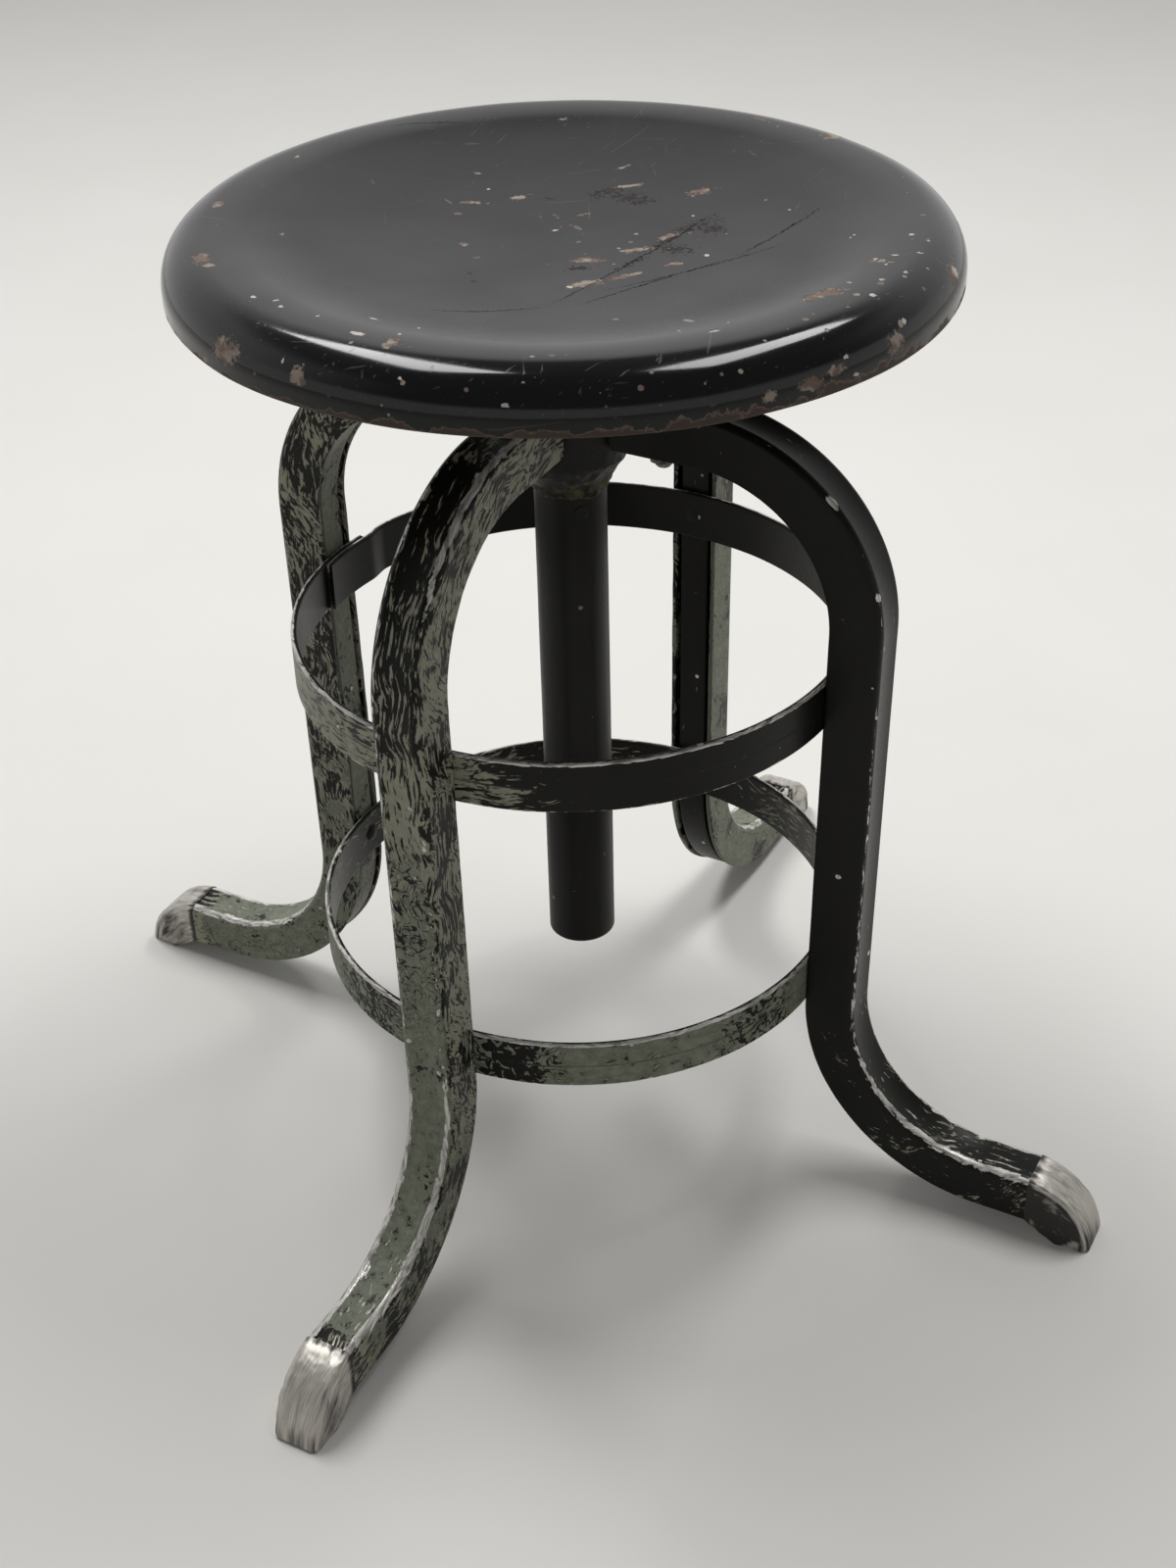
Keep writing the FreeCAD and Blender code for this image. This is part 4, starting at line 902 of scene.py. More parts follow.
class STOOL_OT_seat_mounting(bpy.types.Operator):
    """Casts the flange under the pan, with its studs and nuts"""

    bl_idname = "stool.seat_mounting"
    bl_label = "Seat mounting"

    def execute(self, context):
        column = context.scene.stool_column
        low, high = np.array(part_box("seat_flange")) / MM
        bottom, boss, outer = low[2], BOSS_RADIUS, high[0]
        bore = boss - BOSS_WALL
        plate = bottom + PLATE_RISE
        seat = context.scene.stool_seat
        bed = dish_outline(seat, seat.sheet + 0.05, (60, 2, 2, 2))
        bed = bed[(bed[:, 0] > bore) & (bed[:, 0] < outer - 1)][::-1]
        profile = np.concatenate([
            straight((bore, bottom), (boss - 1, bottom), 4),
            arc_points((boss - 1, bottom + 1), 1, -90, 0, 5)[1:],
            straight((boss, bottom + 1), (boss, plate - 14), 14)[1:],
            arc_points((boss + 9, plate - 14), 9, 180, 135, 7)[1:],
            straight((boss + 3, plate - 6.5), (outer - 24, plate - 1), 8),
            straight((outer - 22, plate), (outer - 1.5, plate), 12),
            arc_points((outer - 1.5, plate + 1.5), 1.5, -90, 0, 5)[1:],
            straight((outer, plate + 1.5), (outer, bed[0, 1] - 0.3), 5)[1:],
            bed,
        ])
        shape = turned(profile, 160)
        points = shape[0]
        radius = from_axis(points)
        cast = (radius > bore + 2) & (points[:, 2] < bed[0, 1] - 1)
        push = np.where(cast, (ripple(points, 9, 21) + ripple(points, 24, 22)) * column.grit * 0.5, 0)
        points[:, 2] += push
        push_out(points, push)
        marks = {"grease": 0.5 * smooth(radius, 26, 18) - 0.1}
        add_piece("cast_seat_flange", shape, "seat", rough_casting(), ["seat_flange"], marks)
        plated = machined_steel("dull_plated_studs", "#8b8983", "#2a241d", 0.08)
        stud = rounded_rod(STUD_RADIUS, plate - STUD_BELOW, plate + STUD_ABOVE, 0.6)
        studs = at_each_leg(stud, 24, STUD_REACH)
        add_piece("threaded_studs", studs, "seat", plated, ["seat_studs"])
        nut = hex_nut(STUD_NUT_FLATS, STUD_RADIUS + 0.02, plate - STUD_NUT_HEIGHT, plate)
        nuts = at_each_leg(nut, 72, STUD_REACH, STUD_NUT_FLATS)
        add_piece("hex_stud_nuts", nuts, "seat", plated, ["stud_nuts"])
        return {"FINISHED"}


def rounded_rod(radius, bottom, top, edge):
    """Profile of a rod with rounded ends, from the axis at its foot to the axis at its top."""
    return np.concatenate([
        [(0, bottom)],
        [(radius * 0.5, bottom)],
        arc_points((radius - edge, bottom + edge), edge, -90, 0, 4),
        straight((radius, bottom + edge), (radius, top - edge), 6)[1:],
        arc_points((radius - edge, top - edge), edge, 0, 90, 4)[1:],
        [(radius * 0.5, top)],
        [(0, top)],
    ])


def hex_profile(flats, bottom, top, middle):
    """Side of a hexagonal head: cones of 30 degrees cut its corners at both ends."""
    corner, face = flats / math.sqrt(3) + 0.2, flats * 0.47
    drop = (corner - face) * math.tan(math.radians(30))
    return np.concatenate([
        [(middle, bottom), (face, bottom)],
        straight((face, bottom), (corner, bottom + drop), 7)[1:],
        straight((corner, bottom + drop), (corner, top - drop), 4)[1:],
        straight((corner, top - drop), (face, top), 7)[1:],
        [(middle, top)],
    ])


def hex_nut(flats, bore, bottom, top):
    """Profile of a nut, closed through its bore, whose ends are bevelled."""
    bevel = 0.4
    side = hex_profile(flats, bottom, top, bore + bevel)
    return np.concatenate([side, [(bore, top - bevel), (bore, bottom + bevel)]])


# Legs


# Stations on a leg's level run, arch, straight, foot bend and foot run
LEG_STATIONS = (20, 66, 72, 70, 14)
# How far from the axis the channels and their liners start
LEG_STARTS = {"channel": 28.3, "liner": 66.7}


def leg_path(sizes, start):
    """Stations along a leg: positions (radius, height), outward angles and distances.

    A level run over the hub, the arch's arc, a leaning straight, the foot's arc and a
    level run to the cap, each meeting the next along the same line.
    """
    level, arch, leaning, bend, run = LEG_STATIONS
    half = sizes.width / 2
    bands = bpy.context.scene.stool_bands
    slope = sizes.taper / (bands.upper - bands.lower)
    lean = math.atan(slope)
    arch_z = sizes.top - half - sizes.arch
    foot_z = sizes.foot + half + sizes.bend
    arch_r = sizes.inside + (arch_z - bands.upper) * slope + (half - sizes.arch) / math.cos(lean)
    foot_r = sizes.inside + (foot_z - bands.upper) * slope + (half + sizes.bend) / math.cos(lean)
    tilt = math.degrees(lean)
    over = arc_points((arch_r, arch_z), sizes.arch, 90, -tilt, arch)
    under = arc_points((foot_r, foot_z), sizes.bend, 180 - tilt, 270, bend)
    spots = np.concatenate([
        straight((start, sizes.top - half), over[0], level)[:-1],
        over,
        straight(over[-1], under[0], leaning)[1:-1],
        under,
        straight(under[-1], (foot_r + sizes.run, sizes.foot + half), run)[1:],
    ])
    angles = np.radians(np.concatenate([
        np.full(level - 1, 90.0), np.linspace(90, -tilt, arch), np.full(leaning - 2, -tilt),
        np.linspace(-tilt, 90, bend), np.full(run - 1, 90.0),
    ]))
    return spots, angles, travel(spots)


def channel_section(sizes):
    """Outer and inner sides of the channel's U, point for point, as (across, outward).

    The outer face is a shallow hollow between two ridges, and the corners are rounded.
    """
    half, corner = sizes.width / 2, sizes.corner
    lip, lip_middle = 0.5, 0.13
    reach = half - corner + 0.1
    across = np.linspace(-reach, reach, 35)
    sink = sizes.sink * (1 - (across / reach) ** 2)
    sides = []
    for inset, hollow, turn in ((0, sink, 1), (sizes.wall, sizes.wall, -1)):
        x = inset - half
        left = np.concatenate([
            [(x + turn * lip, -half), (x + turn * lip_middle, -half + lip_middle)],
            straight((x, -half + lip), (x, half - corner), 16),
            arc_points((corner - half, half - corner), corner - inset, 180, 90, 10)[1:-1],
        ])
        face = np.stack([across, half - hollow + 0 * across], axis=-1)
        sides.append(np.concatenate([left, face, left[::-1] * [-1, 1]]))
    return sides


def liner_section(sizes):
    """Outer and inner sides of the liner's U, which opens towards the channel's web.

    It stands 2 mm clear of the channel's sides and 0.8 mm inside the channel's mouth.
    """
    half, sheet = sizes.width / 2, 2.0
    top = half - sizes.wall
    side, floor = top - 2.0, 0.8 - half
    sides = []
    for inset, corner in ((0, 1.0), (sheet, 0.5)):
        x, y = inset - side, floor + inset
        left = np.concatenate([
            straight((x, top), (x, y + corner), 12),
            arc_points((x + corner, y + corner), corner, 180, 270, 5)[1:],
            straight((x + corner, y), (0, y), 9)[1:],
        ])
        sides.append(np.concatenate([left, left[-2::-1] * [-1, 1]]))
    return sides


def closed(section):
    """The outer and inner sides of a section as one closed loop of points."""
    return np.concatenate([section[0], section[1][::-1]])


def swept_channel(section, path):
    """Carries a U-shaped section along a leg and closes its ends.

    Each section point (y, h) goes to the station's position plus h along its outward
    direction, with y across. The ends are strips between the outer and inner sides.
    """
    loop = closed(section)
    spots, angles, _ = path
    out = np.stack([np.cos(angles), np.sin(angles)], axis=-1)
    plane = spots[:, None, :] + out[:, None, :] * loop[None, :, 1:]
    across = np.repeat(loop[None, :, :1], len(spots), axis=0)
    points = np.stack([plane[..., 0], across[..., 0], plane[..., 1]], axis=-1)
    size, half = len(loop), len(section[0])
    i = np.arange(half - 1)
    strip = np.stack([i, i + 1, size - 2 - i, size - 1 - i], axis=-1)
    end = (len(spots) - 1) * size
    faces = [grid(len(spots), size, wrap_cols=True), strip, strip[:, ::-1] + end]
    return points.reshape(-1, 3), faces


# Finish along each leg at these heights. The plus and minus sides are the leg's flanks, seen
# along the leg from the column, on the left and the right.
HEIGHTS = (0, 40, 90, 150, 220, 300, 370, 425)
LEG_FINISHES = {
    "front_left": {
        "sage_face": (0.95, 0.95, 0.88, 0.85, 0.62, -0.1, -0.5, -0.5),
        "sage_plus": (0.35, 0.5, 0.35, 0.15, 0.0, -0.25, -0.35, -0.3),
        "sage_minus": (0.6, 0.6, 0.7, 0.7, 0.5, 0.0, -0.2, -0.2),
        "crackle_face": (0.2, 0.2, 0.28, 0.5, 0.75, 0.6, 0.2, 0.1),
        "crackle_plus": (0.4, 0.5, 0.55, 0.6, 0.6, 0.55, 0.6, 0.6),
        "crackle_minus": (0.4, 0.5, 0.5, 0.6, 0.7, 0.6, 0.5, 0.4),
        "wear_plus": (1.1, 1.15, 0.9, 0.5, 0.45, 0.35, 0.4, 1.7),
        "wear_minus": (1.0, 1.05, 0.7, 0.45, 0.6, 0.55, 0.6, 0.45),
    },
    "front_right": {
        "sage_face": (0.3, 0.25, 0.15, 0.1, 0.05, -0.2, -0.4, -0.4),
        "sage_plus": (0.5, 0.4, 0.2, 0.1, 0.0, -0.2, -0.4, -0.4),
        "sage_minus": (0.15, 0.1, 0.0, -0.1, -0.2, -0.4, -0.5, -0.5),
        "crackle_face": (0.3, 0.1, -0.2, -0.3, -0.4, -0.5, -0.6, -0.6),
        "crackle_plus": (0.3, 0.2, 0.0, 0.0, -0.2, -0.4, -0.5, -0.5),
        "crackle_minus": (0.1, -0.1, -0.5, -0.7, -0.8, -0.8, -0.8, -0.8),
        "wear_plus": (0.8, 0.7, 0.5, 0.4, 0.35, 0.35, 0.3, 0.3),
        "wear_minus": (1.05, 1.0, 0.68, 0.58, 0.52, 0.35, 0.35, 0.2),
    },
    "back_right": {
        "sage_face": (0.8, 0.75, 0.6, 0.5, 0.4, 0.3, 0.0, -0.2),
        "sage_plus": (0.7, 0.6, 0.5, 0.4, 0.3, 0.2, 0.0, -0.2),
        "sage_minus": (0.75, 0.7, 0.7, 0.75, 0.75, 0.65, 0.5, 0.2),
        "crackle_face": (0.4, 0.3, 0.3, 0.3, 0.3, 0.2, 0.1, 0.0),
        "crackle_plus": (0.4, 0.3, 0.3, 0.3, 0.3, 0.2, 0.1, 0.0),
        "crackle_minus": (0.5, 0.5, 0.5, 0.5, 0.5, 0.5, 0.4, 0.2),
        "wear_plus": (0.9, 0.8, 0.6, 0.45, 0.4, 0.4, 0.4, 0.4),
        "wear_minus": (0.9, 0.85, 0.6, 0.45, 0.4, 0.4, 0.4, 0.4),
    },
    "back_left": {
        "sage_face": (0.8, 0.75, 0.6, 0.45, 0.3, 0.1, -0.1, -0.2),
        "sage_plus": (0.8, 0.75, 0.6, 0.35, 0.2, 0.05, 0.0, -0.1),
        "sage_minus": (0.6, 0.6, 0.5, 0.4, 0.3, 0.2, 0.0, -0.1),
        "crackle_face": (0.4, 0.4, 0.5, 0.5, 0.6, 0.6, 0.5, 0.4),
        "crackle_plus": (0.55, 0.5, 0.5, 0.5, 0.45, 0.4, 0.4, 0.4),
        "crackle_minus": (0.4, 0.4, 0.4, 0.5, 0.5, 0.5, 0.5, 0.4),
        "wear_plus": (1.05, 1.0, 0.75, 0.5, 0.4, 0.4, 0.45, 0.45),
        "wear_minus": (0.95, 0.9, 0.6, 0.45, 0.4, 0.4, 0.4, 0.4),
    },
}
# Sage and crackle on each leg's liner
LINER_FINISHES = {"front_left": (0.3, 0.3), "front_right": (-0.4, -0.5), "back_right": (-0.5, -0.5),
                  "back_left": (0.62, 0.4)}
# Place of the channel's ridges, across and outward from the leg's centre line, and the outward
# distances between which its flank becomes its outer face
RIDGE = (10.3, 12.2)
FACE_EDGE = (9.5, 12.2)
# Steps along the noise that keep one leg's or cap's pattern from showing on the next
LEG_STEP, LINER_STEP, CAP_STEP = 90.0, 60, 60.0
# Knocks on the ridges: height, side and radius
KNOCKS = {"front_left": [(397, 1, 1.3)], "front_right": [(394, -1, 2.2), (352, -1, 1.6)],
          "back_right": [(330, 1, 3.0)], "back_left": [(300, -1, 3.0)]}


def leg_marks(leg, points, section, path, liner=False):
    """Amounts of sage, crackle and bare ridge over a leg, and its unrolled surface.

    Each amount runs straight between the table's heights, and changes over smoothly from
    the outer face to the flanks. `skin` is the distance along the leg, the distance round
    its section and a step for each leg, in metres.
    """
    loop = closed(section)
    stations = len(path[0])
    along = np.repeat(path[2], len(loop))
    around = np.tile(travel(loop), stations)
    across, outward = (np.tile(loop[:, i], stations) for i in (0, 1))
    height = points[:, 2]
    step = LEG_STEP * list(LEGS).index(leg)
    skin = np.stack([along, around + LINER_STEP * liner, np.full(len(points), step)], axis=-1) * MM
    face = smooth(outward, *FACE_EDGE)
    if liner:
        sage, crackle = LINER_FINISHES[leg]
        return {"skin": skin, "sage": sage + 0 * face, "crackle": crackle + 0 * face, "cross": 0 * face,
                "ridge": 0 * face}
    row = {mark: np.interp(height, HEIGHTS, values) for mark, values in LEG_FINISHES[leg].items()}
    marks = {"skin": skin, "cross": 0.1 + 0.8 * (1 - face)}
    for mark in ("sage", "crackle"):
        flank = np.where(across > 0, row[f"{mark}_plus"], row[f"{mark}_minus"])
        marks[mark] = row[f"{mark}_face"] * face + flank * (1 - face)
    off_ridge = np.hypot(np.abs(across) - RIDGE[0], outward - RIDGE[1])
    wear = np.where(across > 0, row["wear_plus"], row["wear_minus"])
    # Boots rub the ridges wider below 100 mm, and some of the face with them
    low = 1 - smooth(height, 30, 100)
    spread = 1.7 + 1.0 * low
    ridge = np.maximum(wear * np.exp(-((off_ridge / spread) ** 2)), 0.35 * low * face * wear)
    for level, side, radius in KNOCKS[leg]:
        knock = np.exp(-((np.hypot(height - level, off_ridge) / radius) ** 2)) * (across * side > 0) * face
        ridge = ridge + 1.3 * knock
    marks["ridge"] = ridge
    # Soot that fades out over about 10 mm from the cap
    soot = np.exp(-(((path[2][-1] - along) / 10) ** 2))
    marks["sage"] = marks["sage"] - 0.75 * soot
    marks["crackle"] = marks["crackle"] + 0.2 * soot
    return marks


class STOOL_OT_legs(bpy.types.Operator):
    """Sweeps the channel legs and their liners"""

    bl_idname = "stool.legs"
    bl_label = "Legs"

    def execute(self, context):
        sizes = context.scene.stool_legs
        enamel = aged_enamel()
        sections = {"channel": channel_section(sizes), "liner": liner_section(sizes)}
        for number, (leg, azimuth) in enumerate(LEGS.items()):
            for kind, section in sections.items():
                path = leg_path(sizes, LEG_STARTS[kind])
                points, faces = swept_channel(section, path)
                marks = leg_marks(leg, points, section, path, kind == "liner")
                if kind == "channel":
                    # Only the flanks are uneven: both bulge outwards where the ripple is positive
                    across = closed(section)[:, 0]
                    flanks = np.sign(across) * (np.abs(across) > sizes.width / 2 - 0.2)
                    flaws = ripple(points, 26, 30 + number) + ripple(points, 8, 40 + number) * 0.5
                    points[:, 1] += flaws * np.tile(flanks, len(path[0])) * sizes.waviness
                shape = (about_z(points, azimuth), faces)
                node = f"{leg}_leg_{kind}"
                add_piece(f"rolled_{node}", shape, "frame", enamel, [node], marks)
        return {"FINISHED"}


# Caps: how far they stand proud of the channel, height of the toe, radius of the top's arc, and how
# far from the seam the sole starts and ends
CAP_PROUD, CAP_TOE, CAP_CURVE, SOLE_START, SOLE_END = 0.3, 1.6, 39.7, 17.0, 26.0
# How much staining lies on each cap's plus side, minus side and top; the larger side amounts, on the sides
# turned to the front and away from the lamps, are painted shade
CAP_STAIN_AND_SHADE = {
    "front_left": (0.2, 0.0, -0.1), "front_right": (0.1, 0.75, 0.0),
    "back_right": (0.0, 0.15, 0.0), "back_left": (0.3, 0.1, 0.1),
}


def cap_rings(sizes, seam):
    """Rings round a cap, from its heel to its toe.

    The ring's top follows an arc from the heel to the toe, its foot follows the slope under
    the heel and then the floor, and each ring is a rectangle with rounded corners between.
    """
    heel = np.array((seam, sizes.foot + sizes.width + CAP_PROUD))
    toe = np.array((seam + sizes.cap, CAP_TOE))
    chord = toe - heel
    long = np.linalg.norm(chord)
    away = np.array((-chord[1], chord[0])) / long
    centre = heel + chord / 2 - away * math.sqrt(CAP_CURVE**2 - (long / 2) ** 2)
    ends = [math.degrees(math.atan2(*(p - centre)[::-1])) for p in (heel, toe)]
    count = 58
    tops = arc_points(centre, CAP_CURVE, *ends, count)
    tops = np.concatenate([tops, [(toe[0] - 0.5, 0.5), (toe[0] - 1.6, 0.0)]])
    out = np.interp(np.linspace(0, 1, count), [0, 0.55, 1], [seam, seam + SOLE_START, seam + (SOLE_END - 1)])
    feet = np.stack([out, np.maximum(0, sizes.foot * (1 - (out - seam) / SOLE_START))], axis=-1)
    feet = np.concatenate([feet, [(seam + SOLE_END, 0.0), (seam + (SOLE_END + 0.5), 0.0)]])
    half = sizes.width / 2 + CAP_PROUD
    rings = []
    for top, foot in zip(tops, feet):
        span = np.linalg.norm(top - foot)
        blunt = 0.9 * float(smooth(top[0], toe[0] - 7, toe[0]))
        wide = half - blunt
        # Radii of the upper and lower corners, less where the cap is low
        crown, rim = min(3.6, span * 0.45), min(0.9, span * 0.2)
        side = np.concatenate([
            straight((0, 0), (wide - rim, 0), 6)[:-1],
            arc_points((wide - rim, rim), rim, -90, 0, 5)[:-1],
            straight((wide, rim), (wide, span - crown), 12)[:-1],
            arc_points((wide - crown, span - crown), crown, 0, 90, 12)[:-1],
            straight((wide - crown, span), (0, span), 10),
        ])
        loop = np.concatenate([side, side[-2:0:-1] * [-1, 1]])
        line = (top - foot) / span
        plane = foot + loop[:, 1:] * line
        rings.append(np.stack([plane[:, 0], loop[:, 0], plane[:, 1]], axis=-1))
    return np.array(rings)


class STOOL_OT_foot_caps(bpy.types.Operator):
    """Casts the caps on the ends of the legs"""

    bl_idname = "stool.foot_caps"
    bl_label = "Foot caps"

    def execute(self, context):
        sizes = context.scene.stool_legs
        metal = cap_metal()
        seam = leg_path(sizes, 0.0)[0][-1, 0]
        rings = cap_rings(sizes, seam)
        count, size = rings.shape[:2]
        around = np.concatenate([np.tile(np.arange(size), count), [0, 0]]) * 1.2
        for number, (leg, azimuth) in enumerate(LEGS.items()):
            points, faces = loft(rings)
            # Unevenness of the casting, none on the floor and at the seam
            flaws = ripple(points, 11, 50 + number) * 0.28 + ripple(points, 4, 60 + number) * 0.08
            free = smooth(points[:, 2], 0.3, 4) * smooth(points[:, 0], seam + 0.2, seam + 3)
            points[:, 1] += np.sign(points[:, 1]) * flaws * free * (np.abs(points[:, 1]) > 8)
            points[:, 2] -= np.abs(flaws) * free
            # Staining by side, where the heavier side amounts are painted shade; none along the shoulders'
            # crest, which is a painted highlight; more low on the toe and beside the seam
            plus, minus, top = CAP_STAIN_AND_SHADE[leg]
            across = np.abs(points[:, 1])
            flank = smooth(across, 9, 11.8)
            side = np.where(points[:, 1] > 0, plus, minus)
            # Painted highlight: a thin clean line along each shoulder's crest
            crest = np.exp(-(((across - 11.7) / 0.75) ** 2))
            toe = smooth(points[:, 0], seam + 22, seam + 34) * smooth(points[:, 2], 16, 3)
            heel = 1 - smooth(points[:, 0], seam + 0.5, seam + 4.5)
            stain_and_shade = top + (side - top) * flank - (0.25 + side) * crest + 0.35 * toe + 0.5 * heel
            skin = np.stack([points[:, 0], around, np.full(len(points), CAP_STEP * number)], axis=-1) * MM
            marks = {"stain_and_shade": stain_and_shade, "skin": skin}
            shape = (about_z(points, azimuth), faces)
            node = f"{leg}_foot_cap"
            add_piece(f"cast_{node}", shape, "frame", metal, [node], marks)
        return {"FINISHED"}


# Bands


# Where the upper band starts, how far it turns, and the part of its turn in which it steps inwards
LAP_START, LAP_TURN, LAP_STEP = 127.1, 374.4, (353, 359.3)
# Points along a band, and up half of its flat side
BAND_STATIONS, SIDE_POINTS = 700, 13
# Wormy patches on the lower band, and its most torn place: azimuth and spread in degrees
LOWER_BAND_WORMS = [(240, 9), (293, 10), (200, 14), (330, 9), (110, 20), (40, 15)]
LOWER_BAND_TEAR = (236, 6)
# Azimuth of the middle of the worn stretch of the upper band
UPPER_SAGE_AT = 190
# Profile of an upper rivet: radius, and distance outwards from the band's inner face
FLUSH_RIVET = [(0, -0.35), (1.8, -0.3), (3.4, -0.12), (4.4, 0.02), (3.0, 0.1), (2.98, 5.2), (0, 5.2)]


def flat_stock(sizes):
    """Section of the flat stock as (inward, height), with its edges rounded."""
    deep, half, edge = sizes.thickness, sizes.height / 2, 0.8
    right = np.concatenate([
        straight((0, 0), (0, half - edge), SIDE_POINTS)[:-1],
        arc_points((-edge, half - edge), edge, 0, 90, 6),
        arc_points((-deep + edge, half - edge), edge, 90, 180, 6),
        straight((-deep, half - edge), (-deep, 0), SIDE_POINTS)[1:],
    ])
    return np.concatenate([right, (right * [1, -1])[-2:0:-1]])


def rolled_band(section, middle, outside, start, turn, joggle):
    """Carries a section round the Z axis from `start` through `turn`, in degrees.

    The last part steps inwards by `joggle` over about six degrees, so that it laps inside.
    """
    angles = np.radians(np.linspace(start, start + turn, BAND_STATIONS))
    step = joggle * smooth(np.degrees(angles), start + LAP_STEP[0], start + LAP_STEP[1])
    radius = outside - step[:, None] + section[None, :, 0]
    height = middle + np.repeat(section[None, :, 1], len(angles), axis=0)
    rings = np.stack([radius * np.cos(angles)[:, None], radius * np.sin(angles)[:, None], height], axis=-1)
    return rings, angles


def band_marks(band, sizes, inward, height, bearing):
    """Amounts of sage, crackle and bare edge over a band, by place in its section and azimuth."""
    inside = inward < -sizes.thickness / 2
    if band == "upper":
        patch = smooth(np.cos(np.radians(bearing - UPPER_SAGE_AT)), 0.3, 0.85)
        sage = np.where(inside, -0.6, -0.3 + 0.5 * patch)
        crackle = np.where(inside, -0.9, -0.75 + 1.5 * patch)
    else:
        worms = sum(np.exp(-(((bearing - at) / wide) ** 2)) for at, wide in LOWER_BAND_WORMS)
        torn_at, spread = LOWER_BAND_TEAR
        sage = np.where(inside, 0.15, 0.98 - 0.2 * worms)
        crackle = np.where(inside, 0.1, 0.28 + 0.75 * np.minimum(worms, 1))
        crackle = crackle + 0.7 * np.exp(-(((bearing - torn_at) / spread) ** 2)) * ~inside
    # Both outer edges are rubbed, the upper one more
    edge, outer = sizes.height / 2 - 0.4, inward > -2
    top_edge = 1.05 * np.exp(-(((height - edge) / 1.0) ** 2)) * outer
    low_edge = 0.55 * np.exp(-(((height + edge) / 0.8) ** 2)) * outer
    return {"sage": sage, "crackle": crackle, "cross": 0 * sage, "ridge": top_edge + low_edge}


class STOOL_OT_bands(bpy.types.Operator):
    """Rolls the two flat bands and finishes their rivets"""

    bl_idname = "stool.bands"
    bl_label = "Bands"

    def execute(self, context):
        sizes = context.scene.stool_bands
        enamel = aged_enamel()
        section = flat_stock(sizes)
        for band, middle, start, turn, joggle in (
            ("upper", sizes.upper, LAP_START, LAP_TURN, sizes.thickness + 0.05),
            ("lower", sizes.lower, 0.0, 360.0, 0.0),
        ):
            node = f"{band}_ring"
            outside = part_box(node)[1][0] / MM
            rings, angles = rolled_band(section, middle, outside, start, turn, joggle)
            if joggle:
                points, faces = loft(rings)
            else:
                rings, angles = rings[:-1], angles[:-1]
                points = rings.reshape(-1, 3)
                faces = [grid(len(rings), len(section), wrap_rows=True, wrap_cols=True)]
            points[:, 2] += ripple(points, 60, 71) * 0.2
            count = len(rings) * len(section)
            along = np.repeat(angles * outside, len(section))
            around = np.tile(travel(section), len(rings))
            inward, height = (np.tile(section[:, i], len(rings)) for i in (0, 1))
            bearing = np.degrees(np.repeat(angles, len(section))) % 360
            skin = np.stack([along, around, np.full(count, 400.0 + middle)], axis=-1) * MM
            marks = {"skin": skin, **band_marks(band, sizes, inward, height, bearing)}
            # The poles that close a lapped band's ends take the marks of its first points
            poles = len(points) - count
            for mark, values in marks.items():
                marks[mark] = np.concatenate([values, values[:poles]])
            add_piece(f"rolled_{node}", (points, faces), "frame", enamel, [node], marks)
        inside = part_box("upper_ring")[1][0] / MM - sizes.thickness
        heads = pointing_out(FLUSH_RIVET, 32, inside, sizes.upper, LEGS.values())
        black = tube_enamel()
        add_piece("flush_upper_ring_rivets", heads, "frame", black, ["upper_ring_rivets"])
        refinish("lower_ring_rivets", black)
        return {"FINISHED"}


# Column


# Hub: drops from the legs' underside to the barrel's foot and from there to the collar's top, and the
# collar's height; distance from the axis at which the arms inside the legs end, and points along them
BARREL_DROP, COLLAR_DROP, COLLAR_HEIGHT = 9.6, 14.4, 3.5
ARM_END, ARM_STATIONS = 64.66, 30
# Leg bolts: radius, size across flats, distance from the axis, height of the lower end and of the nuts
BOLT_RADIUS, BOLT_FLATS, BOLT_REACH, BOLT_FOOT, BOLT_NUT_HEIGHT = 3.9, 12.7, 49.5, 389.5, 5.5
# Spindle: how far its foot and neck are set in from the thread's radius, and length of its foot
FOOT_STEP, NECK_STEP, FOOT_LENGTH = 3.7, 2.7, 16.3
# Profile of a tube plug: radius, and distance outwards from PLUG_OFFSET off the tube
DIMPLED_PLUG = [(0, -0.05), (1.6, -0.02), (2.5, 0.12), (2.9, 0.2), (3.15, 0.16), (3.35, -0.05), (3.38, -0.4),
                (3.38, -3.2), (0, -3.2)]
PLUG_OFFSET = 0.2
# Azimuths of the tube plugs
PLUGS_AT = (90.0, 270.0)
# Marks on the tube: azimuth in degrees, height, half width, half height
TUBE_MARKS = [(268, 298, 1.6, 1.6), (263, 284, 2.0, 1.3), (281, 247, 1.5, 2.2), (255, 190, 2.5, 1.2),
              (300, 160, 1.5, 3.0), (240, 140, 2.0, 1.5), (20, 250, 2.0, 3.0), (110, 210, 2.5, 1.5)]


